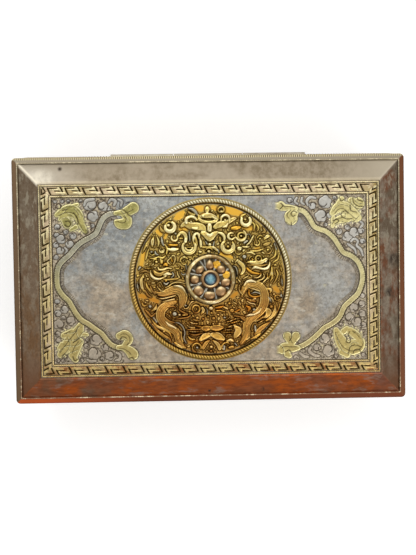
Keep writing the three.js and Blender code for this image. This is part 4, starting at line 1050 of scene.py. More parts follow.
def raise_form(sheet, crown, finish, points, kind="round"):
    """Raises one form over those below it: a ridge along its line, with the profile and finish of its kind."""
    near, depth, half, side, along = near_line(sheet, points)
    if len(near) == 0:
        return
    share = np.clip(1 - depth / np.minimum(half, 9.0 if kind == "body" else 0.8), 0, 1)
    rise = np.sqrt(1 - share ** 3)
    across = side * share
    if kind == "body":
        rise = np.sqrt(1 - share ** 2)
        for groove, deep in ((-0.62, 0.2), (-0.24, 0.22), (0.18, 0.2), (0.58, 0.24)):
            rise *= 1 - deep * np.exp(-((across - groove) / 0.1) ** 2)
    elif kind == "leaf":
        rise *= 1 - 0.3 * np.exp(-(share / 0.16) ** 2)
    rise *= crown * np.minimum(1.0, 0.6 + 0.4 * half / half.max())
    standing = sheet.height[near]
    over = (depth > 0) & (rise > standing)
    sheet.cut[near[over]] = 0
    sheet.gilt[near[over]] = 1.0 if finish == GILT else 0.0
    sheet.matted[near[over]] = 1.0 if finish == SILVER else 0.0
    # Painted highlight: the shine rises just inside the edge of each wide form.
    edge_highlight = 0.45 * np.exp(-((depth - 0.38) / 0.2) ** 2) * (half > 0.7)
    sheet.shine[near[over]] = 0.6 if finish >= SILVER else finish + edge_highlight[over]
    # The body's stripes and bright edges are painted highlights, on the ridges between its grooves and along
    # both its edges.
    if kind == "body":
        worn = (0.16 + 0.2 * np.cos((across + 0.02) * 5 * math.pi)
                + 0.1 * np.cos(along * 4.2) * np.cos(along * 0.9))
        worn += 0.85 * np.exp(-((across + 0.8) / 0.14) ** 2) + 0.5 * np.exp(-((across - 0.8) / 0.1) ** 2)
        sheet.shine[near[over]] = np.clip(worn, 0.1, 0.85)[over]
    outline = np.clip(1.15 - np.abs(depth + 0.03) / 0.17, 0, 1) * (standing < 0.85 * crown)
    sheet.cut[near] = np.maximum(sheet.cut[near], outline)
    sheet.height[near] = np.maximum(standing, rise * (depth > 0))


def small_scroll(sheet, x, y, radius, start, hand):
    """One of the small clouds that fill the ground between the large forms."""
    finish = PALE if (x * 7 + y * 3) % 3 < 1 else GOLD
    raise_form(sheet, 0.8 + 0.3 * radius, finish, curl(x, y, radius * 0.6, 0.85, start, hand, radius * 0.4))


def raise_medallion(sheet):
    """Every form, the lowest ones first, and then small clouds in what ground is left."""
    for points in GROUND_PATCHES:
        gild_ground(sheet, points)
    for form in THRONE + LEFT_DRAGON + LOTUS + RIGHT_DRAGON:
        raise_form(sheet, *form)
    reach = np.hypot(sheet.x, sheet.y)
    bare = (sheet.height < 0.2) & (sheet.cut < 0.3) & (sheet.gilt < 0.4) & (reach < 32.3) & (reach > 11.6)
    pack_scrolls(sheet, bare, 0.45, 1.1, small_scroll)


# Flat ground left open between the forms, where the thick gilding shines.
GROUND_PATCHES = [
    [(-14.6, 26.9, 0.8), (-13.2, 27.8, 1.5), (-11.6, 29.2, 0.9)], [(-5.2, 31.2, 1.2), (-3.6, 30.9, 1.3)],
    [(1.6, 31.4, 0.9), (2.8, 30.8, 0.9)], [(7.6, 30.2, 1.4), (10.6, 29.4, 1.5), (13.6, 28.6, 1.1)],
    [(-12.6, 21.9, 0.7), (-10.4, 22, 0.6)], [(-22.8, 21.2, 0.8), (-21.6, 20.2, 0.9)],
    [(-19.6, 18.4, 0.5), (-18.8, 20, 0.6)], [(15, 21.9, 0.6), (18.4, 22, 0.9)],
    [(4.6, 11.2, 0.7), (7, 10.4, 0.7), (9.6, 9.4, 0.6)], [(-30.1, 6.6, 0.8), (-29, 11.6, 0.9)],
    [(-30.6, -6.8, 0.9), (-28.6, -7.4, 0.8)], [(-26, -8.2, 0.9), (-23.4, -9.4, 0.8)],
    [(28.4, -4.4, 0.9), (29.6, -5.6, 0.8)], [(20.2, 12.8, 0.6), (21.6, 13.2, 0.5)],
    [(13, -22, 0.9), (12.2, -25, 0.9)], [(-9.2, -27, 0.9), (-4, -28, 1)],
    [(9.6, -7.8, 0.7), (11.4, -6.4, 0.7)], [(2.4, -28.2, 0.9), (4.6, -27.4, 0.9)],
]

# Forms from here on: the height of the crown, the finish, the points and, if not round, the profile.
THRONE = [
    # jewel in its bowl, with a ring scroll and a leaf beside it
    (1.6, GOLD, [(-4.6, 28, 0.5), (-4.4, 26.4, 0.8), (-2.8, 25.3, 0.9), (-0.4, 24.9, 0.9), (2, 25.2, 0.9),
                 (3.5, 26.3, 0.8), (3.8, 28, 0.5)]),
    (2.2, GOLD, [(-3.4, 27.6, 0.9), (-1.8, 27.8, 1.3), (0.2, 27.8, 1.3), (2.4, 27.2, 0.9)]),
    (2.3, PALE, dot(-2.8, 27.5, 0.6)), (2.3, PALE, [(0.8, 27.6, 0.4), (2.2, 26.6, 0.5), (3.4, 26.6, 0.3)]),
    (1.8, GOLD, [(-1, 29.6, 0.9), (-0.9, 30.6, 1.2), (-0.9, 31.6, 0.6)]),
    (1.8, GOLD, arc(5.1, 30.2, 1.3, 250, -60, 0.6)), (1.9, PALE, dot(5.2, 29.5, 0.7)),
    (1.5, SILVER, [(-9, 31, 0.4), (-7.4, 30.6, 0.8), (-6, 29.4, 0.8), (-5.2, 28, 0.4)], "leaf"),
    (1.5, GOLD, [(-9.2, 29.6, 0.5), (-8.4, 28.9, 0.7), (-6.4, 28.2, 0.4)]),
    # left wing of the throne
    (1.9, GOLD, [(-12.4, 23.2, 0.7), (-10.6, 24.3, 1.3), (-8.2, 23.4, 1.7), (-5.6, 23.2, 1.9),
                 (-3.2, 22.6, 1.6), (-2.2, 21.2, 1)]),
    (2.2, PALE, [(-10.2, 25, 0.9), (-10, 26.6, 0.9), (-8.4, 27.4, 0.8), (-6.6, 27, 0.8),
                 (-5.6, 25.9, 0.6)]),
    (2.3, PALE, dot(-8, 25.3, 0.55)), (2.3, PALE, [(-7.6, 22.4, 0.5), (-6.4, 22.2, 0.7), (-5.2, 22.6, 0.5)]),
    # right wing, which curls round its own eye
    (1.9, GOLD, [(2.4, 22.8, 1.1), (4.4, 23.8, 1.6), (6.6, 24.2, 1.5), (8.6, 25.2, 1.2), (10.6, 26.2, 1),
                 (11.8, 26.4, 0.5)]),
    (2.2, PALE, arc(6.9, 26, 1.9, 190, -20, 0.8)), (2.3, PALE, dot(6.8, 25.8, 0.6)),
    (2.3, PALE, [(5.8, 22.6, 0.4), (7.2, 22.9, 0.7), (8, 24.2, 0.4)]),
    # column and shield under the bowl, and the pedestal over the wheel
    (2.2, PALE, [(0, 23.4, 1.15), (0, 21.6, 1.2)]), (2.3, GOLD, [(0, 23.1, 0.5), (0, 21.9, 0.5)]),
    (1.9, GOLD, [(-3.4, 20.4, 0.8), (-1.6, 19.4, 1.5), (0, 17.8, 1.5), (1.6, 19.4, 1.5), (3.4, 20.4, 0.8)]),
    (2.1, PALE, [(-1.6, 19.8, 0.7), (0, 19.2, 0.9), (1.6, 19.8, 0.7)]),
    (1.7, SILVER, [(-1.9, 16.6, 0.3), (-1.2, 15.4, 0.5)]), (1.7, SILVER, [(1.9, 16.4, 0.4), (1.5, 14.8, 0.5)]),
    (1.8, PALE, dot(0, 15.2, 0.8)),
    (1.7, GOLD, [(-3, 14, 0.7), (-1.6, 14, 0.6), (0, 14.1, 0.5), (2, 13.6, 0.8), (3, 12.4, 0.6)]),
    (1.8, GOLD, arc(-0.4, 12, 1.6, 10, 170, 0.4)), (1.9, GOLD, dot(-0.5, 12.1, 0.8)),
    # left side: rim scroll, small scroll, arch, ring scroll and bars
    (1.4, BROWN, [(-21.6, 23.4, 0.4), (-21, 21.8, 0.8), (-19.8, 20.8, 0.5)]),
    (2.2, PALE, arc(-17.3, 23.2, 2.1, 175, 420, 1.15)), (1.9, GOLD, arc(-17.6, 23.8, 1.5, 60, 180, 0.5)),
    (2.2, PALE, dot(-17.9, 23.8, 0.75)), (2, PALE, arc(-15.4, 18.3, 1.35, 140, 390, 0.7)),
    (1.8, SILVER, dot(-14.9, 20.1, 0.6)),
    (1.9, GOLD, [(-13.8, 19.2, 0.7), (-12.6, 20.4, 0.9), (-11.2, 20.2, 1), (-10.4, 18.6, 1),
                 (-10.6, 16.6, 1)]),
    (2.1, PALE, [(-10.2, 18.8, 0.5), (-10.4, 17.4, 0.8), (-10.9, 16.4, 0.7)]),
    (1.6, GOLD, [(-13, 18, 0.5), (-12, 18, 0.6)]),
    (1.5, SILVER, [(-9, 20.8, 0.4), (-8.8, 18.8, 0.5), (-8.7, 16.8, 0.4)]),
    (2, PALE, [(-7.2, 16.8, 0.6), (-7, 18.8, 0.8), (-6, 20, 0.8), (-4.8, 19.6, 0.8),
                 (-4.6, 18, 0.6)]),
    (1.8, GOLD, [(-6.2, 18.4, 0.5), (-5.8, 16.4, 0.7), (-5.6, 14.8, 0.5)]),
    (1.9, PALE, [(-4.2, 17.6, 0.6), (-3.9, 15.8, 0.8), (-4, 14.2, 0.6)]),
    (1.9, GOLD, arc(-9.1, 14.2, 2.8, 125, 400, 0.95)), (2.1, PALE, arc(-9.1, 14.4, 1.7, 190, 350, 0.6)),
    (2, PALE, arc(-9.1, 14.3, 3, 150, 230, 0.5)), (1.9, GOLD, [(-10, 14.1, 0.4), (-8.2, 14.1, 0.4)]),
    (1.7, GILT, [(-17.8, 15.3, 0.5), (-16, 15.1, 0.65), (-14.2, 15.2, 0.5)]),
    (2, PALE, [(-18.2, 13.4, 0.7), (-16.2, 13, 0.9), (-14, 13.4, 0.7)]),
    (1.9, SILVER, [(-16.8, 13.9, 0.3), (-15.2, 13.9, 0.3)]),
    # right side: rim scroll, spirals, ring scroll and balls
    (2.2, PALE, arc(15.9, 25.3, 2, 150, 400, 1.05)), (2.1, PALE, dot(15.6, 25.9, 0.6)),
    (1.6, GOLD, [(13.6, 26.6, 0.5), (14.2, 27.6, 0.7), (15.8, 28.2, 0.5)]),
    (1.7, GILT, [(9.8, 22.1, 0.8), (11.6, 22.2, 1.1), (13.4, 22.5, 0.6)]),
    (1.9, PALE, [(4.2, 20.2, 0.7), (5.6, 19.6, 0.9), (6.4, 18.2, 0.8), (6.3, 16.8, 0.6)]),
    (1.6, GOLD, [(4.4, 18.2, 0.6), (4.6, 16.6, 0.6)]), (2, PALE, arc(9.5, 18.7, 1.45, 60, 330, 0.75)),
    (2, PALE, dot(9.6, 18.9, 0.5)), (2, GOLD, arc(13.8, 18.7, 1.5, 30, 330, 0.6)),
    (2.2, PALE, dot(13.7, 18.7, 0.6)),
    (2, PALE, [(11.3, 18.2, 0.5), (12.4, 16.9, 0.6), (14.2, 16.6, 0.6), (15.6, 17.8, 0.6), (15.7, 19.8, 0.6),
                 (14.8, 21, 0.5)]),
    (1.7, SILVER, arc(16.9, 18.6, 0.9, -30, 230, 0.4)),
    (1.9, PALE, [(19.2, 18.9, 0.4), (18.4, 17.4, 0.6), (17.4, 15.8, 0.6), (16.2, 14.8, 0.5)]),
    (1.5, SILVER, [(16.4, 16.6, 0.6), (15, 15.6, 0.6)]),
    (1.7, PALE, [(14.2, 14, 0.4), (15.8, 13.8, 0.6), (17.2, 14, 0.4)]),
    (1.9, GOLD, arc(7.9, 14.2, 2.7, 120, 400, 0.95)), (2.1, PALE, arc(7.9, 14.2, 1.8, 170, 370, 0.6)),
    (2, GOLD, dot(7.9, 14.2, 0.7)), (1.6, SILVER, [(3.4, 13, 0.4), (4, 11.6, 0.5)]),
    (1.8, PALE, dot(12.9, 13.2, 1.1)), (1.6, GOLD, arc(12.5, 12.2, 1.5, 170, 330, 0.5)),
]

LEFT_DRAGON = [
    # left dragon: brow and eyes, nose, lips, jaw and tongue
    (1.7, PALE, arc(-21, 12.9, 1, 120, 400, 0.5)), (1.9, PALE, dot(-20.8, 12.6, 0.5)),
    (1.7, SILVER, dot(-25.5, 12.3, 0.6)), (1.5, GOLD, arc(-25.2, 12.2, 1.3, 200, 340, 0.4)),
    (1.6, SILVER, [(-23.9, 12.6, 0.4), (-23.6, 11.4, 0.6), (-22.6, 11, 0.4)]),
    (1.6, GOLD, [(-19, 11.4, 0.5), (-18.6, 13.6, 0.6), (-19.6, 15.4, 0.4)]),
    (1.5, GOLD, [(-26.6, 9.6, 0.3), (-24.6, 9.4, 0.5), (-22.6, 10, 0.5), (-20.8, 9.6, 0.6),
                 (-19.4, 10.6, 0.4)]),
    (1.9, PALE, dot(-23.4, 7.9, 0.7)), (1.5, GOLD, arc(-23.6, 7.8, 1.3, 60, 200, 0.4)),
    (1.6, GOLD, [(-21.6, 9, 0.5), (-21.2, 7.4, 0.6), (-20.6, 8.6, 0.4)]),
    (1.5, PALE, [(-28.2, 6.6, 0.3), (-27.4, 7.2, 0.5)]), (1.5, PALE, [(-25.6, 6.2, 0.3), (-24.8, 6.9, 0.5)]),
    (1.8, GILT, [(-20.2, 6.4, 0.5), (-19.4, 6.8, 0.9), (-18.6, 6.2, 0.4)]),
    (1.9, PALE, [(-22.8, 5.8, 0.3), (-22.3, 4.5, 0.6), (-20.6, 4.5, 0.7), (-18.8, 5.1, 0.6),
                 (-16.8, 4.9, 0.4)]),
    (1.5, BROWN, [(-24.7, 4.2, 0.5), (-23.6, 2.8, 1), (-21.8, 2.4, 1), (-20.2, 3.4, 0.6),
                  (-18, 4, 0.4)]),
    (2.2, PALE, [(-26.1, 4.2, 0.3), (-25.8, 2.2, 0.7), (-24.4, 0.8, 0.8), (-22.4, 0.4, 0.7), (-20.8, 0.9, 0.5),
                 (-19.4, 1.6, 0.6)]),
    (2.2, PALE, [(-20.2, 2.2, 0.6), (-18.6, 2.7, 0.9), (-17, 2.4, 0.5)]),
    (1.5, GOLD, [(-20.4, 0.2, 0.4), (-18, 0.1, 0.6), (-14.6, 0.4, 0.5), (-13.4, 1.4, 0.4)]),
    (1.5, SILVER, [(-17, 1, 0.4), (-16, 2, 0.5), (-16.6, 3.4, 0.3)]),
    (1.6, GILT, dot(-19.4, -0.5, 0.5)),
    (1.7, PALE, [(-17.4, 6.6, 0.3), (-18.6, 8, 0.5), (-17.4, 9.4, 0.4), (-16.2, 10.6, 0.5),
                 (-15.3, 10, 0.4), (-15.4, 8, 0.5), (-16.4, 6.4, 0.3)]),
    (1.5, GILT, [(-16.9, 9.4, 0.3), (-16.6, 8, 0.4)]), (1.5, GOLD, arc(-14.4, 5.6, 0.9, 200, 440, 0.4)),
    (1.6, PALE, [(-14.4, 3.6, 0.4), (-14.2, 2.2, 0.5), (-13.4, 0.9, 0.4)]),
    (1.5, GOLD, [(-13.2, 7.8, 0.4), (-12.6, 9.2, 0.6), (-11.2, 9.8, 0.7), (-9.8, 9.2, 0.4)]),
    (1.8, PALE, dot(-11.3, 9.9, 0.6)), (1.6, GOLD, arc(-11.4, 7.6, 1, 170, 400, 0.45)),
    (1.7, SILVER, arc(-11.7, 3, 0.9, 180, 360, 0.4)), (1.5, BROWN, dot(-12.4, 4.9, 0.6)),
    (1.5, GOLD, dot(-12, 0.6, 0.6)), (1.5, SILVER, [(-10.6, 6.4, 0.4), (-10.4, 4.6, 0.4)]),
    (1.6, PALE, dot(-8.7, 8.6, 0.5)),
    # flames over the head and along the rim
    (1.5, GOLD, [(-22.7, 14.4, 0.4), (-22.3, 16.6, 0.7), (-22.9, 18.6, 0.5), (-23.4, 19.8, 0.2)], "leaf"),
    (1.6, PALE, [(-22.4, 15, 0.2), (-22.4, 17.4, 0.4), (-23.2, 18.8, 0.2)]),
    (1.5, SILVER, [(-20.2, 15, 0.4), (-20.8, 16.6, 0.7), (-21, 18.6, 0.4)], "leaf"),
    (1.4, GOLD, [(-25.2, 14.6, 0.5), (-25, 16.8, 0.9), (-24.4, 19, 0.3)], "leaf"),
    (1.3, BROWN, [(-27.2, 14.2, 0.4), (-26.8, 16.6, 0.7), (-25.8, 18.8, 0.3)], "leaf"),
    (1.3, GOLD, [(-29.4, 12, 0.3), (-28, 15, 0.6), (-26.6, 17.8, 0.3)]),
    (1.3, GOLD, [(-28.2, 8.6, 0.3), (-27.6, 10.8, 0.6), (-26.8, 13.4, 0.4)]),
    (1.4, SILVER, [(-31.3, 4.6, 0.4), (-30.6, 5.6, 0.7)]),
    (1.5, BROWN, [(-30.6, 3.4, 0.4), (-28.4, 4, 0.6), (-26.8, 3.4, 0.4)]),
    (1.4, GOLD, [(-28.4, 5, 0.3), (-26.6, 5.2, 0.4), (-25.2, 5, 0.3)]),
    (1.5, SILVER, [(-31.9, -1, 0.3), (-31.8, -2.8, 0.5), (-31.4, -4.8, 0.3)], "leaf"),
    (1.6, GOLD, [(-29.2, 2.4, 0.4), (-30.2, 0, 0.8), (-29.9, -3, 0.8), (-28.8, -5.4, 0.3)], "leaf"),
    (1.7, PALE, dot(-27.3, 0.5, 0.6)), (1.6, PALE, dot(-29.2, 1.3, 0.5)),
    (1.6, PALE, [(-26.2, -1.3, 0.3), (-25, -1.3, 0.5), (-23.9, -1.2, 0.3)]),
    (1.5, GOLD, [(-28.2, -0.8, 0.3), (-27.6, -3, 0.6), (-26, -5.4, 0.4)]),
    (1.5, BROWN, [(-26.4, -2.4, 0.3), (-25.6, -4.4, 0.6), (-24.2, -6.4, 0.4)]),
    (1.4, BROWN, [(-28.6, -4.4, 0.4), (-27.4, -6.6, 0.6), (-25.8, -7.6, 0.3)]),
    (1.7, PALE, [(-28.6, -8.6, 0.3), (-27.4, -9.1, 0.5)]),
    # neck, upper coil and the whisker over it
    (1.8, PALE, [(-23, -1.6, 0.3), (-22, -0.9, 0.35), (-21.2, -2.2, 0.35), (-20.5, -3.2, 0.3)]),
    (1.9, PALE, [(-23.3, -1.9, 0.3), (-22.9, -3.4, 0.4), (-21.4, -4.8, 0.45), (-19.8, -5, 0.3)]),
    (1.6, SILVER, [(-20.4, -1.2, 0.4), (-19.4, -2, 0.6), (-18.2, -1.2, 0.4)]),
    (2.3, GOLD, [(-24.2, -5.2, 0.5), (-21.6, -6, 1.1), (-18.6, -5.2, 1.7), (-15.6, -4.4, 2.2),
                 (-13, -5.2, 2.3), (-12, -7.8, 2.1), (-12.4, -10.4, 1.6), (-13.4, -12.2, 0.8)], "body"),
    (1.9, BROWN, [(-23, -6.6, 0.4), (-20.6, -7, 0.6), (-17.6, -6.4, 0.6), (-15.2, -6, 0.4)]),
    (2, PALE, [(-23.4, -7.6, 0.3), (-21.2, -8.2, 0.5), (-18.4, -7.7, 0.5), (-15.4, -6.9, 0.4)]),
    (2.5, PALE, [(-16, -2.7, 0.4), (-14, -2.8, 0.7), (-12.2, -3.6, 0.7), (-10.9, -5.4, 0.5),
                 (-10.1, -7.2, 0.3)]),
    (1.8, PALE, [(-20, -3.6, 0.3), (-18.2, -2.7, 0.4), (-16.6, -1.6, 0.4), (-14.6, -1.1, 0.4),
                 (-12.4, -1.4, 0.4), (-10.8, -2, 0.3)]),
    (1.7, PALE, [(-9.3, -7.6, 0.3), (-8.9, -8.8, 0.4)]),
    # lower coil and tail
    (2.4, GOLD, [(-15.4, -9.8, 1), (-18.6, -10.8, 1.8), (-21.4, -13, 2.2), (-22, -16.2, 2.2),
                 (-20, -19.4, 2.1), (-16.8, -21.4, 2), (-14.8, -23.6, 1.9), (-14.4, -26.4, 1.5),
                 (-12.4, -29, 0.9)], "body"),
    (1.9, BROWN, [(-20.6, -12, 0.3), (-18.4, -11.8, 0.5), (-16, -11.8, 0.5), (-15.2, -12.6, 0.3)]),
    (2, PALE, [(-21.4, -9.6, 0.3), (-18.4, -9, 0.5), (-15.8, -8.4, 0.5)]),
    (2.6, PALE, [(-19.8, -18.2, 0.3), (-18.4, -19.6, 0.6), (-16.4, -20.6, 0.6), (-15, -21.3, 0.3)]),
    (2.4, BROWN, [(-14.8, -22.8, 0.5), (-14.4, -24.6, 0.9), (-14.8, -26, 0.5)]),
    (1.9, BROWN, [(-19.8, -16.6, 0.4), (-18.4, -18, 0.6), (-16.2, -18.7, 0.5)]),
    (1.8, SILVER, [(-15.8, -18.8, 0.3), (-13.8, -19.2, 0.5), (-12.2, -21, 0.5), (-11.5, -23.4, 0.5),
                   (-11.9, -25.8, 0.5), (-10.9, -28, 0.4)]),
    (2.1, GOLD, [(-12.9, -22.8, 0.3), (-13, -25.2, 0.5), (-12.4, -27.4, 0.4)]),
    (1.6, GOLD, [(-23.7, -10.6, 0.4), (-24.2, -12.4, 0.8), (-25.8, -13.6, 0.5)], "leaf"),
    (1.7, PALE, [(-23.8, -10.8, 0.2), (-23.9, -12.2, 0.35), (-24.9, -13.3, 0.3)]),
    (1.6, BROWN, [(-28.6, -13, 0.4), (-27.2, -14.6, 0.7), (-26, -15.9, 0.5), (-24.4, -14.6, 0.4)], "leaf"),
    (1.4, SILVER, dot(-26.5, -11.6, 0.8)), (1.4, SILVER, [(-25, -16.6, 0.5), (-23.8, -18.4, 0.5)]),
    (1.4, GOLD, [(-30.2, -9.6, 0.4), (-29.4, -11.2, 0.6), (-28.2, -11, 0.4)]),
    (1.7, GOLD, [(-26.2, -17, 0.3), (-23.8, -20, 0.7), (-20.6, -21.8, 0.7), (-18.2, -23.4, 0.5),
                 (-17.2, -25.6, 0.3)], "leaf"),
    (1.6, BROWN, [(-26, -19, 0.3), (-23.6, -22, 0.7), (-20.8, -24.4, 0.8), (-18.2, -26, 0.6),
                  (-17.4, -28.2, 0.3)], "leaf"),
    (1.8, PALE, dot(-20.7, -22.7, 0.5)), (1.6, SILVER, [(-19.8, -26.1, 0.3), (-18.5, -27.3, 0.5)]),
    (1.5, GOLD, [(-22.6, -24.4, 0.3), (-20.4, -27, 0.5), (-17, -29.2, 0.4)]),
    (1.7, GOLD, [(-16, -27.6, 0.5), (-14, -29.2, 0.8), (-11.4, -29.9, 0.6)], "leaf"),
    (1.5, SILVER, [(-15.4, -30.2, 0.3), (-12.6, -31.2, 0.5), (-10.2, -31.4, 0.3)]),
    # forearm, hand and the ball it plays with
    (1.9, PALE, [(-19.5, -14.8, 0.3), (-18.2, -15.8, 0.4), (-16.9, -17.1, 0.3)]),
    (2, SILVER, dot(-15.8, -15, 1.1)), (2.1, PALE, dot(-13.7, -15.4, 0.7)),
    (1.8, PALE, [(-16.6, -13.7, 0.3), (-15.4, -13.3, 0.4)]),
    (1.8, BROWN, [(-15.8, -17.3, 0.3), (-13.2, -17, 0.5), (-10.2, -16.6, 0.5), (-8.9, -15.6, 0.4)]),
    (1.7, BROWN, [(-14, -13.2, 0.4), (-12, -14.4, 0.6), (-10.2, -15.2, 0.5)]),
    (1.6, GOLD, [(-12.4, -15.6, 0.4), (-10.4, -15.6, 0.4)]),
    (1.9, PALE, [(-12.1, -11.8, 0.3), (-11.2, -12.8, 0.4), (-9.9, -12.3, 0.4), (-9.1, -10.8, 0.4),
                 (-8.2, -9.8, 0.5), (-7, -9.5, 0.3)]),
    (1.8, SILVER, dot(-10.9, -11.4, 0.55)),
]

LOTUS = [
    # balls and bar under the wheel, then a bed of small clouds
    (1.7, GOLD, arc(-6.4, -12.9, 1.6, -60, 220, 0.6)), (1.8, PALE, [(-7.2, -11.5, 0.4), (-6, -11.4, 0.5)]),
    (1.6, BROWN, arc(-6.4, -13.2, 1.5, 200, 330, 0.5)),
    (1.7, GOLD, [(-3.6, -12.6, 0.8), (-3.2, -13.8, 0.9), (-4.2, -15.2, 0.5)]),
    (1.7, SILVER, [(-2.2, -12.4, 0.3), (-1.5, -13.8, 0.35), (-1.7, -15.4, 0.3)]),
    (2, PALE, dot(0.1, -12.7, 1)), (1.8, GILT, [(2.2, -12.6, 0.5), (4.2, -12.3, 0.7), (5.6, -11.9, 0.5)]),
    (1.9, PALE, [(5.8, -12.4, 0.5), (7.2, -13, 0.7)]),
    (1.6, GOLD, [(2.2, -13.9, 0.4), (4, -13.8, 0.5), (6, -14.4, 0.5)]), (1.7, BROWN, dot(9.3, -13.9, 1)),
    (1.8, PALE, dot(10.2, -12.6, 0.5)), (1.7, GOLD, dot(8.2, -10.7, 0.7)),
    (1.8, PALE, [(9.6, -10, 0.3), (11.2, -11, 0.5)]), (1.8, PALE, [(12.2, -9.8, 0.3), (13, -11.2, 0.5)]),
    (1.6, GILT, [(10.6, -14.6, 0.4), (12.4, -13.6, 0.6)]),
    (1.7, PALE, [(10.8, -15, 0.3), (12.6, -15, 0.4)]),
    (1.7, BROWN, [(10, -16.2, 0.4), (13.6, -16.8, 0.6), (15.6, -17.6, 0.5)]),
    (1.5, GOLD, dot(0.3, -14.8, 0.6)), (1.5, PALE, dot(3.2, -15.6, 0.6)), (1.5, SILVER, dot(6, -16.9, 0.6)),
    (1.5, BROWN, dot(1.2, -17.2, 0.8)), (1.5, PALE, dot(-5.9, -16.8, 0.7)), (1.5, GOLD, dot(-1.2, -16.4, 0.6)),
    (1.5, BROWN, dot(-3.4, -17.4, 0.7)), (1.5, PALE, dot(1, -19.6, 0.5)), (1.5, PALE, dot(3.8, -19.6, 0.6)),
    # lotus: petals fan out on both sides of a brown core
    (2, PALE, [(-9.6, -18.2, 0.3), (-8.2, -19.1, 0.5), (-5.8, -19.4, 0.4)]),
    (2, PALE, [(-8, -17.3, 0.3), (-6.6, -17.9, 0.5), (-4.9, -18.2, 0.3)]),
    (2, PALE, [(-11.2, -19.4, 0.3), (-9.4, -20.8, 0.5), (-7.2, -21, 0.4)]),
    (2, GOLD, [(-7, -20.2, 0.3), (-5.4, -20.6, 0.5), (-4, -20.9, 0.4)]),
    (1.9, BROWN, [(-10.4, -22, 0.4), (-8, -21.9, 0.5), (-4.8, -21.9, 0.5)]),
    (2.1, PALE, [(-9.4, -22.8, 0.3), (-7.4, -22.9, 0.4), (-5.2, -22.9, 0.3)]),
    (2, BROWN, [(-9.8, -23.6, 0.3), (-8, -24.3, 0.5), (-5.8, -24.2, 0.5), (-3.8, -23.5, 0.3)]),
    (1.9, GOLD, [(-10.2, -24.8, 0.4), (-8.8, -26.2, 0.7), (-7.2, -26.2, 0.5)]),
    (2, PALE, [(6, -19, 0.3), (8.4, -18.5, 0.45), (10.8, -17.5, 0.4)]),
    (2, PALE, [(6.8, -17.9, 0.3), (8.2, -16.8, 0.4)]),
    (2, GOLD, [(8, -19.6, 0.3), (10.4, -19, 0.45), (12.6, -18.3, 0.4)]),
    (2.1, PALE, [(6.8, -21.3, 0.3), (8.8, -20.7, 0.45), (11, -19.9, 0.3)]),
    (2.1, PALE, [(5.4, -22.5, 0.3), (7.2, -22.3, 0.4), (9, -22.2, 0.3)]),
    (2, GOLD, [(4.4, -23.2, 0.3), (6.6, -23.4, 0.4), (9.6, -23.4, 0.3)]),
    (2.1, PALE, [(6.4, -24.6, 0.3), (7.8, -24.5, 0.4), (9, -24.6, 0.3)]),
    (1.9, BROWN, [(9.6, -21.8, 0.3), (11.6, -21.4, 0.5)]),
    (2, BROWN, [(-4, -21.4, 0.7), (-2.6, -21.6, 1.4), (-0.7, -21.4, 1.1)], "leaf"),
    (2, BROWN, [(0.7, -21.4, 1.2), (3, -21.4, 1.5), (5.2, -21.2, 0.7)], "leaf"),
    (2.2, GILT, dot(-2.7, -22, 0.5)),
    (2, GOLD, [(-1, -24.4, 1.2), (-2.8, -25, 1.5), (-4.6, -26.4, 1)], "leaf"),
    (2, GOLD, [(0.8, -24.4, 1.3), (3, -25, 1.8), (5.2, -26.2, 1.1)], "leaf"),
    (1.8, BROWN, [(-0.9, -27, 0.6), (-2.4, -28.2, 1), (-3.6, -30.2, 0.9)], "leaf"),
    (1.8, GOLD, [(0.9, -27, 0.6), (2.8, -28.6, 1), (3.6, -30.6, 0.9)], "leaf"),
    (2, GOLD, [(10.6, -21, 0.8), (12, -22.6, 1.7), (11, -24.6, 1.4), (10.2, -26, 0.5)]),
    (1.9, PALE, [(7, -27.2, 0.6), (8.6, -26.8, 0.9), (9.8, -27.4, 0.5)]),
    (1.8, GOLD, arc(-6.4, -29.9, 1.9, -20, 220, 0.55)), (1.8, BROWN, arc(-6.4, -29.9, 2, 190, 260, 0.7)),
    (1.7, SILVER, dot(-6.2, -29.9, 0.7)), (1.8, GOLD, arc(6.6, -29.9, 2, 40, 220, 0.5)),
    (1.7, SILVER, [(5.8, -29.6, 0.7), (5.6, -31, 0.6)]), (1.8, BROWN, [(7.8, -30.2, 0.7), (9.4, -29.9, 0.9)]),
    (1.8, PALE, dot(0, -29.7, 0.8)), (1.7, PALE, dot(-1.9, -31.6, 0.5)), (1.7, PALE, dot(1.6, -32, 0.5)),
    (1.6, BROWN, dot(-0.1, -31.5, 0.7)), (1.6, SILVER, [(10.4, -28.4, 0.5), (11.4, -29.4, 0.4)]),
]

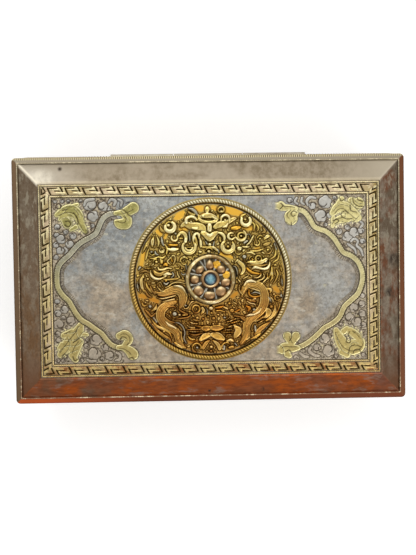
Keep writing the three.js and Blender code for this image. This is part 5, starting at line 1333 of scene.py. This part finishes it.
RIGHT_DRAGON = [
    # right dragon: eye and snout, lips, tongue and jaw
    (1.9, SILVER, dot(15, 9.6, 1)), (1.7, GOLD, arc(18.1, 8.7, 0.9, 60, 340, 0.4)),
    (1.7, GILT, dot(18.4, 8.6, 0.4)), (1.9, GOLD, arc(21.2, 8.7, 1.3, 20, 390, 0.6)),
    (1.9, GOLD, [(16.6, 7.2, 0.6), (19.4, 7, 0.9), (22.6, 7.2, 1), (24.6, 8.4, 0.9)]),
    (2, PALE, [(22.4, 8.2, 0.4), (23.4, 7.2, 0.6)]),
    (1.7, PALE, [(16, 11.2, 0.4), (17.8, 11.4, 0.6), (19.6, 10.6, 0.5)]),
    (1.7, SILVER, [(24.4, 7, 0.4), (25, 8.6, 0.4)]),
    (1.6, BROWN, [(16.4, 5.9, 0.4), (19.2, 5.8, 0.5), (22.6, 5.6, 0.6), (25, 6.2, 0.4)]),
    (2.3, PALE, [(18.2, 4.1, 0.4), (19.6, 4.9, 0.8), (21.4, 4.5, 0.7), (23.6, 4.1, 0.8), (25.4, 4.9, 0.8),
                 (26.1, 6.8, 0.5), (25.9, 8, 0.2)]),
    (1.7, GILT, [(16.2, 4.6, 0.5), (17.2, 3.4, 0.8), (19, 2.5, 0.7), (21.2, 2.1, 0.6)]),
    (1.8, PALE, [(14.2, -0.2, 0.3), (15.4, 0.5, 0.4), (16.8, 1.2, 0.3)]),
    (1.7, GOLD, [(12, 8.6, 0.5), (12.8, 7.2, 1), (14.4, 5.6, 1.1), (14.6, 3.4, 0.9), (13.4, 1.8, 0.6)]),
    (1.8, PALE, [(11, 7, 0.3), (12, 8.4, 0.5)]), (1.7, BROWN, [(14.4, 8.2, 0.2), (16, 6.8, 0.3)]),
    (1.8, SILVER, [(10, 5.6, 0.3), (11.2, 5, 0.5), (11.8, 3, 0.5), (11.8, 1, 0.3)]),
    (1.6, PALE, [(12.2, -0.4, 0.4), (12.9, -1.2, 0.6)]),
    (1.7, PALE, [(22.2, 3, 0.3), (22.1, 1.4, 0.45), (20.8, 0.4, 0.45), (19, 0.3, 0.3)]),
    (1.9, PALE, [(23.2, 2.4, 0.3), (23.6, 0.8, 0.5), (22.6, -0.4, 0.5), (20.6, -0.9, 0.4)]),
    (1.8, PALE, [(25, 2.2, 0.4), (24.9, 0.2, 0.4), (23.4, -1.4, 0.45), (22.4, -2.6, 0.3)]),
    (1.7, GOLD, [(27, 5.6, 0.3), (27, 2.8, 0.7), (27.2, 0.4, 0.6), (26, -1.6, 0.3)]),
    (1.7, GOLD, [(28.8, 4, 0.3), (29.6, 1.8, 0.6), (28.8, -0.6, 0.5), (27.6, -2.4, 0.3)]),
    (1.6, SILVER, [(31.2, 1, 0.3), (31.3, -1.4, 0.5), (31.6, -3.4, 0.3)]),
    (1.5, GOLD, [(30.4, 6.6, 0.3), (31.3, 3.4, 0.5)]),
    (1.5, GOLD, [(26.4, 3.2, 0.2), (26, 0.8, 0.35), (24.6, -1.2, 0.2)]),
    (1.6, PALE, [(27, 4.8, 0.2), (27, 3.2, 0.3)]),
    # flames over the head and along the rim
    (1.6, GOLD, arc(20.6, 15.6, 1.2, 150, 420, 0.5)), (1.6, PALE, dot(20.4, 14.6, 0.5)),
    (1.5, GOLD, arc(22.2, 17.4, 1.4, 10, 170, 0.45)), (1.5, PALE, dot(22, 17.4, 0.5)),
    (1.5, GOLD, [(23.8, 17, 0.4), (25.2, 18.4, 0.9), (26.6, 18.4, 0.3)], "leaf"),
    (1.4, BROWN, [(23.4, 14.6, 0.5), (25, 15, 0.9), (27, 15.8, 0.3)], "leaf"),
    (1.7, PALE, [(22.8, 11.4, 0.4), (23.6, 11, 0.5)]),
    (1.4, GOLD, [(20.6, 20.4, 0.3), (21.4, 22, 0.6), (20.4, 24, 0.3)], "leaf"),
    (1.4, BROWN, [(22.8, 19.8, 0.4), (24.2, 20.6, 0.7), (23.2, 22.6, 0.3)], "leaf"),
    (1.4, GOLD, [(18.6, 24.8, 0.3), (19.6, 23.4, 0.6), (19.4, 20.8, 0.5)]),
    (1.5, GOLD, [(17.6, 12.4, 0.4), (20, 12, 0.6), (22.6, 12.6, 0.5), (24.6, 13.4, 0.3)]),
    (1.4, BROWN, [(24, 10.6, 0.3), (26.2, 11, 0.5), (27.6, 13.2, 0.3)]),
    (1.4, GOLD, [(26.4, 8.4, 0.4), (28.4, 9.8, 0.6), (28.8, 12.4, 0.4), (28, 14.8, 0.3)], "leaf"),
    (1.4, GOLD, [(27.4, 6.8, 0.3), (29.6, 8.4, 0.6), (30.4, 11, 0.3)], "leaf"),
    (1.4, SILVER, [(28.2, 15.4, 0.3), (29.2, 12.6, 0.4)]),
    # coils, the leaf they hold and the claw
    (2.3, GOLD, [(13.8, -7.6, 0.7), (14.6, -5, 1.4), (16.2, -2.8, 1.7), (19.2, -2.4, 1.8), (21.8, -3.6, 2),
                 (23.4, -6.4, 2.2), (23.6, -10, 2.3), (22.2, -13.6, 2.2), (19.4, -16.2, 2.1),
                 (16.8, -18.4, 2), (15.4, -21.4, 2), (15.6, -24.6, 1.7), (13.2, -28.4, 1)], "body"),
    (2.5, PALE, [(14.6, -2.9, 0.4), (15.8, -1.4, 0.7), (17.8, -0.9, 0.8), (19.8, -1.4, 0.5)]),
    (1.9, PALE, [(13.4, -1.8, 0.3), (12.5, -3.6, 0.4), (12.8, -5.6, 0.4), (14, -7, 0.3)]),
    (2, PALE, [(17.4, -4.4, 0.3), (19.2, -4.7, 0.5), (21.4, -5.6, 0.4)]),
    (1.9, SILVER, [(17.8, -6.6, 0.3), (19.6, -6, 0.5), (21.4, -6.6, 0.4)]),
    (1.9, GILT, [(16.9, -5, 0.4), (17, -7, 0.6), (18.8, -8, 0.6), (21.6, -7.7, 0.4)]),
    (2, PALE, [(18.6, -9, 0.4), (19.8, -8.9, 0.5)]),
    (1.8, BROWN, [(15.4, -8.4, 0.4), (17, -9.4, 0.7), (19.4, -10, 0.6)]),
    (2.1, PALE, [(15.8, -9.8, 0.3), (17.4, -10.8, 0.45), (19.2, -11.2, 0.45), (20, -12.8, 0.3)]),
    (1.8, GILT, [(15.6, -12, 0.5), (17, -12.9, 0.9), (16.4, -14.2, 0.5)]),
    (1.8, SILVER, dot(18.9, -13.5, 0.7)),
    (2.6, PALE, [(15.2, -16.4, 0.4), (17.2, -15.8, 0.7), (19.2, -15.6, 0.5), (21.2, -14.5, 0.5),
                 (22, -13, 0.3)]),
    (2, BROWN, [(13.2, -17.2, 0.5), (14.6, -18.2, 0.6)]), (1.9, PALE, dot(13.4, -18.8, 0.5)),
    (2.3, GOLD, [(14, -19.4, 0.3), (14.3, -22, 0.4), (13.4, -25, 0.3)]),
    (1.7, SILVER, [(25, -8, 0.3), (26, -9.2, 0.5), (26.6, -10.6, 0.3)]),
    (1.7, PALE, [(26.2, -8, 0.3), (27.3, -9.6, 0.5), (27.3, -11, 0.3)]), (1.7, PALE, dot(27.8, -7, 0.6)),
    (1.6, GOLD, arc(29.3, -8.6, 1.2, 30, 330, 0.45)), (1.7, SILVER, [(30.9, -6.4, 0.3), (31, -8, 0.6)]),
    (1.6, BROWN, dot(26.6, -12.4, 0.8)), (1.5, GOLD, [(24.8, -4.4, 0.5), (26.4, -5, 0.8), (26.2, -6.4, 0.4)]),
    (1.7, GOLD, [(23.8, -13.4, 0.4), (25.4, -14.6, 1.4), (24.4, -16.6, 0.9), (22.6, -17.4, 0.4)], "leaf"),
    (1.6, GOLD, [(28.2, -12, 0.4), (28, -14.6, 0.9), (26.6, -17, 0.8), (24.2, -18.6, 0.5)], "leaf"),
    (1.9, PALE, [(19.2, -19, 0.3), (21, -18.2, 0.4), (23, -16.8, 0.3)]),
    (1.9, PALE, [(20.6, -19.6, 0.3), (22, -18.9, 0.45), (23.4, -18.2, 0.3)]),
    (1.6, BROWN, [(19, -24.6, 0.4), (21.2, -22.6, 1.2), (23.6, -20.8, 1), (25.8, -19.4, 0.4)], "leaf"),
    (1.8, SILVER, [(19.3, -20.6, 0.4), (19.4, -21.8, 0.7), (19.4, -23.2, 0.4)]),
    (1.5, GOLD, [(17.4, -26.6, 0.4), (19.6, -25.6, 0.7), (21.8, -24, 0.4)], "leaf"),
    (1.6, PALE, [(15.6, -26.8, 0.4), (16.8, -25.8, 0.5)]),
    (1.4, SILVER, [(14.6, -29.4, 0.3), (17.4, -27.8, 0.5)]),
    (1.4, GOLD, [(30.4, -11, 0.3), (29.4, -14.6, 0.5), (27.6, -18, 0.4)]),
    (1.4, BROWN, [(13, -30.2, 0.3), (15.6, -29.8, 0.4)]),
]


def softened(values, columns, rows, passes):
    """A grid of values averaged with its neighbours a few times."""
    grid = values.reshape(rows, columns)
    for _ in range(passes):
        side = np.pad(grid, ((0, 0), (1, 1)), mode="edge")
        grid = (side[:, :-2] + 2 * side[:, 1:-1] + side[:, 2:]) / 4
        up = np.pad(grid, ((1, 1), (0, 0)), mode="edge")
        grid = (up[:-2] + 2 * up[1:-1] + up[2:]) / 4
    return grid.ravel()


AROUND, RINGS = 900, 104
RELIEF_SCALE = 0.8
ROUNDEL_CROWN = 2.4
roundel, angle, ring = sheet_grid("dragon_roundel", AROUND, RINGS)
order = np.lexsort((angle, ring))
turn = angle * 2 * math.pi
reach = ROUNDEL_INNER + ring * (ROUNDEL_OUTER - ROUNDEL_INNER)
relief = Sheet(reach * np.cos(turn), reach * np.sin(turn))
raise_medallion(relief)
columns, rows = AROUND + 1, RINGS + 1
soft = softened(relief.height[order], columns, rows, 1)
wide = softened(relief.height[order], columns, rows, 12)
# Painted shade: the cavity value falls where the relief sinks below its surroundings.
hollow = np.empty(len(turn))
hollow[order] = np.clip(0.62 + (soft - wide) * 1.6, 0, 1)
relief.height[order] = soft
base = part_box("medallion_disc")[0][2] * 1000
height = base + GROUND_RISE + np.minimum(relief.height, ROUNDEL_CROWN) * RELIEF_SCALE
set_sheet(roundel, relief.x, relief.y, height, cavity=hollow, cut=relief.cut, gilt=relief.gilt,
          matted=relief.matted, shine=relief.shine, relief=relief.height / ROUNDEL_CROWN)
close_below(base, loops=2)
bpy.ops.object.shade_smooth_by_angle(angle=math.radians(60))

gilding, tree = new_material("fire_gilt_repousse")
values = {name: add_node(tree, "Attribute", attribute_name=name).outputs["Fac"]
          for name in ("cavity", "cut", "gilt", "matted", "shine", "relief")}
place = add_node(tree, "TexCoord").outputs["Object"]
at_y = add_node(tree, "SeparateXYZ", {0: place}).outputs["Y"]
upper = between(at_y, -0.012, 0.010)
brown = blend(upper, "#8c5b2b", "#957640")
gold = blend(upper, "#d0a04b", "#dcc26a")
# Pale cream is the painted highlight colour, paler towards the top.
pale = blend(upper, "#e4c27a", "#f5e8a9")
mottle = patchy(tree, 3.0, 0.46, 0.60, detail=6.0, rough=0.7, seed=4.0)
gold = blend(mottle, gold, "#84622e", 0.6)
colour = blend(between(values["shine"], 0.0, 0.5), brown, gold)
colour = blend(between(values["shine"], 0.5, 1.0), colour, pale)
silver = blend(upper, "#a39a84", "#a8a48e")
colour = blend(values["matted"], colour, silver)
# Painted highlight: the crests of shiny forms turn paler still.
crest_highlight = part_of(between(values["relief"], 0.72, 0.95), between(values["shine"], 0.45, 0.85))
colour = blend(crest_highlight, colour, "#f4ecc6", 0.6)
thick_gilt = blend(upper, "#b9792a", "#e2af42")
colour = blend(values["gilt"], colour, thick_gilt)
ground = blend(values["gilt"], blend(upper, "#ad823f", "#b79b52"), thick_gilt)
colour = blend(between(values["relief"], 0.22, 0.04), colour, ground)
# Painted shade in the hollows.
colour = blend(between(values["cavity"], 0.5, 0.15), colour, "#573d1c", 0.5)
colour = blend(values["cut"], colour, "#2f2210", 0.88)
roughness = add_node(tree, "MapRange", {0: values["cavity"], 3: 0.5, 4: 0.28})
finish_metal(tree, colour, roughness.outputs[0], millimetres(tree, 0.8, seed=6.0), 0.03)
roundel.data.materials.append(gilding)
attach(roundel, "lid")
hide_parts("medallion_disc")


# Rim of the medallion: a band of gilt wire milled into slanting ridges, with a narrow flat flange outside it.
# The ridges carry painted highlights in pale cream, brightest at the upper right, and the gilding is deep
# yellow below.
RIM_RIDGES = 168
RIM_WIDTH = 2.9
BAND_MIDDLE = 1.4
BAND_HALF = 1.1
low, high = (np.array(corner) * 1000 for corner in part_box("medallion_rim"))
rim_outer, rim_base, rim_top = high[0], low[2], high[2]
rim, angle, ring = sheet_grid("roped_rim", RIM_RIDGES * 8, 20)
turn = angle * 2 * math.pi
inset = (1 - ring) * RIM_WIDTH
reach = rim_outer - inset
lean = np.clip((inset - BAND_MIDDLE) / BAND_HALF, -1, 1)
band = np.sqrt(np.clip(1 - lean ** 2, 0, 1))
ridge = np.abs(np.cos(RIM_RIDGES / 2 * turn + 1.1 * lean)) ** 0.7
flange = np.where(inset < BAND_MIDDLE - BAND_HALF, 0.3, 0.0)
height = np.maximum(band * (0.68 + 0.32 * ridge), flange)
grooves = np.clip(1 - 1.9 * np.maximum(band, flange * 1.6), 0, 1) + 0.8 * (1 - ridge) ** 2 * (band > 0.2)
set_sheet(rim, reach * np.cos(turn), reach * np.sin(turn),
          rim_base + 0.15 + (rim_top - rim_base - 0.15) * height,
          cut=np.clip(grooves, 0, 1), shine=band ** 2 * ridge)
close_below(rim_base, loops=2)
bpy.ops.object.shade_smooth_by_angle(angle=math.radians(60))
rim_gilding, tree = new_material("fire_gilt_rim")
cut_value = add_node(tree, "Attribute", attribute_name="cut").outputs["Fac"]
shine_value = add_node(tree, "Attribute", attribute_name="shine").outputs["Fac"]
place = add_node(tree, "TexCoord").outputs["Object"]
at_x, at_y, _ = add_node(tree, "SeparateXYZ", {0: place}).outputs
gold = blend(between(at_y, -0.024, 0.012), "#9d7431", "#a99863")
colour = blend(patchy(tree, 5.0, 0.4, 0.65, seed=3.0), gold, "#a08a4c")
to_upper_right = add_node(tree, "Math", {0: part_of(at_x, 0.45), 1: at_y}, operation="ADD").outputs[0]
# Painted highlights on the ridge tops, brightest towards the upper right.
pale = blend(between(to_upper_right, -0.020, 0.024), "#c9a453", "#e9e2c0")
colour = blend(shine_value, colour, pale, 0.85)
colour = blend(cut_value, colour, "#4d3a1c", 0.9)
finish_metal(tree, colour, 0.32, millimetres(tree, 1.0, seed=6.0), 0.03)
rim.data.materials.append(rim_gilding)
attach(rim, "lid")
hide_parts("medallion_rim")


# Wheel: eight rounded copper petals inside a plain ring, on a floor cut from the same sheet as the roundel,
# with a copper collet round a turquoise cabochon. Silver wires part the petals, and two cells are gilt.
# Number, place, width, length, turn in degrees, and how much the petal narrows inwards.
PETALS = ((1, -0.2, 6.4, 3.1, 4.3, 0, -0.7), (2, 4.9, 4.1, 3.5, 3.7, -50, 0.0),
          (3, 6.8, -1.6, 3.5, 4.2, -100, 0.0), (4, 4.6, -5.6, 4.5, 4.5, -140, 0.0),
          (5, -0.4, -7.2, 4.5, 3.8, 180, 0.0), (6, -5.2, -5.1, 4.2, 4.3, 135, 0.0),
          (7, -6.8, -0.2, 3.5, 3.8, 90, 0.0), (8, -4.6, 4.1, 3.0, 4.0, 45, 0.0))
GOLD_CELLS = ((2.9, 6.3, 1.7), (7.0, 1.9, 1.6))
FLOOR_INNER, FLOOR_OUTER = 2.6, ROUNDEL_INNER + 0.25
floor_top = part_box("wheel_petal_1")[0][2] * 1000
petal_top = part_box("wheel_petal_1")[1][2] * 1000
wheel_floor, angle, ring = sheet_grid("wheel_floor", 240, 36)
turn = angle * 2 * math.pi
reach = FLOOR_INNER + ring * (FLOOR_OUTER - FLOOR_INNER)
cells = Sheet(reach * np.cos(turn), reach * np.sin(turn))
for number in range(8):
    middle = math.radians(67.5 - 45 * number)
    for spread in (-0.11, 0.11):
        vein(cells, [(4.2 * math.cos(middle), 4.2 * math.sin(middle)),
                     (9.2 * math.cos(middle + spread), 9.2 * math.sin(middle + spread))], half=0.22, rise=0.3)
for x, y, radius in GOLD_CELLS:
    inside = np.clip((radius - np.hypot(cells.x - x, cells.y - y)) / 0.3 + 0.5, 0, 1)
    cells.gilt = np.maximum(cells.gilt, inside)
set_sheet(wheel_floor, cells.x, cells.y, floor_top - 0.15 + np.minimum(cells.height, 0.35), shine=cells.shine,
          gilt=cells.gilt, cut=1 - cells.shine)
close_below(base, loops=2)
bpy.ops.object.shade_smooth_by_angle(angle=math.radians(60))
floor_metal, tree = new_material("wheel_ground")
shine_value = add_node(tree, "Attribute", attribute_name="shine").outputs["Fac"]
gilt_value = add_node(tree, "Attribute", attribute_name="gilt").outputs["Fac"]
colour = blend(patchy(tree, 1.6, 0.42, 0.6, seed=3.0), "#332a1c", "#554a35")
colour = blend(shine_value, colour, "#a9a698", 0.85)
colour = blend(gilt_value, colour, "#dba93e")
finish_metal(tree, colour, 0.4, millimetres(tree, 0.9, seed=5.0), 0.04)
wheel_floor.data.materials.append(floor_metal)
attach(wheel_floor, "lid")
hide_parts("medallion_disc")

copper_with_painted_shading, tree = new_material("copper_with_painted_shading")
normal = add_node(tree, "TexCoord").outputs["Normal"]
facing_y = add_node(tree, "SeparateXYZ", {0: normal}).outputs["Y"]
colour = blend(patchy(tree, 3.0, 0.4, 0.65, seed=2.0), "#a5835b", "#8a6843")
# Painted light: faces turned towards the back are painted pale as lit, faces turned towards the front dark as
# shaded.
colour = blend(between(facing_y, 0.15, 0.6), colour, "#dac798")
colour = blend(between(facing_y, -0.2, -0.6), colour, "#5f3f25")
finish_metal(tree, colour, 0.34, millimetres(tree, 0.9, seed=5.0), 0.03)
rubbed_gilding_and_highlights, tree = new_material("rubbed_gilding_and_highlights")
colour = blend(patchy(tree, 4.0, 0.4, 0.65, seed=2.0), "#ae9a68", "#93784c")
# Pale patches: painted highlights on the ring.
colour = blend(patchy(tree, 2.0, 0.52, 0.66, detail=5.0, seed=7.0), colour, "#e0d3a8")
finish_metal(tree, colour, 0.36, millimetres(tree, 0.9, seed=5.0), 0.03)
dress("wheel_ring", rubbed_gilding_and_highlights)
dress("stone_collet", copper_with_painted_shading)
for number, x, y, width, length, turn, taper in PETALS:
    bpy.ops.mesh.primitive_uv_sphere_add(segments=32, ring_count=20, radius=0.001, location=(0, 0, 0))
    petal = bpy.context.object
    petal.name = f"petal_{number}"
    bpy.ops.object.mode_set(mode="EDIT")
    bpy.ops.mesh.select_all(action="SELECT")
    bpy.ops.mesh.bisect(plane_co=(0, 0, 0), plane_no=(0, 0, 1), clear_inner=True, use_fill=True)
    bpy.ops.mesh.select_all(action="SELECT")
    bpy.ops.transform.resize(value=(0.58 * width, 0.56 * length, petal_top - floor_top))
    bpy.ops.object.mode_set(mode="OBJECT")
    if taper:
        pointed = petal.modifiers.new("pointed", "SIMPLE_DEFORM")
        pointed.deform_method, pointed.deform_axis, pointed.factor = "TAPER", "Y", taper
        bpy.ops.object.modifier_apply(modifier="pointed")
    bpy.ops.object.mode_set(mode="EDIT")
    bpy.ops.mesh.select_all(action="SELECT")
    bpy.ops.transform.rotate(value=math.radians(turn), orient_axis="Z", center_override=(0, 0, 0))
    bpy.ops.transform.translate(value=(x / 1000, y / 1000, floor_top / 1000))
    bpy.ops.object.mode_set(mode="OBJECT")
    bpy.ops.object.shade_smooth_by_angle(angle=math.radians(60))
    petal.data.materials.append(copper_with_painted_shading)
    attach(petal, "lid")
    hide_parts(f"wheel_petal_{number}")

stone, tree = new_material("turquoise_cabochon")
place = add_node(tree, "TexCoord").outputs["Object"]
from_centre = add_node(tree, "VectorMath", {0: place, 1: (1, 1, 0)}, operation="MULTIPLY")
out_from_centre = add_node(tree, "VectorMath", {0: from_centre.outputs[0]}, operation="LENGTH").outputs["Value"]
colour = blend(patchy(tree, 1.6, 0.42, 0.62, seed=2.0), "#8cbac2", "#4a7887")
colour = blend(between(out_from_centre, 0.0014, 0.0023), colour, "#1d2d38")
finish_metal(tree, colour, 0.2, metallic=0.0)
dress("turquoise", stone)
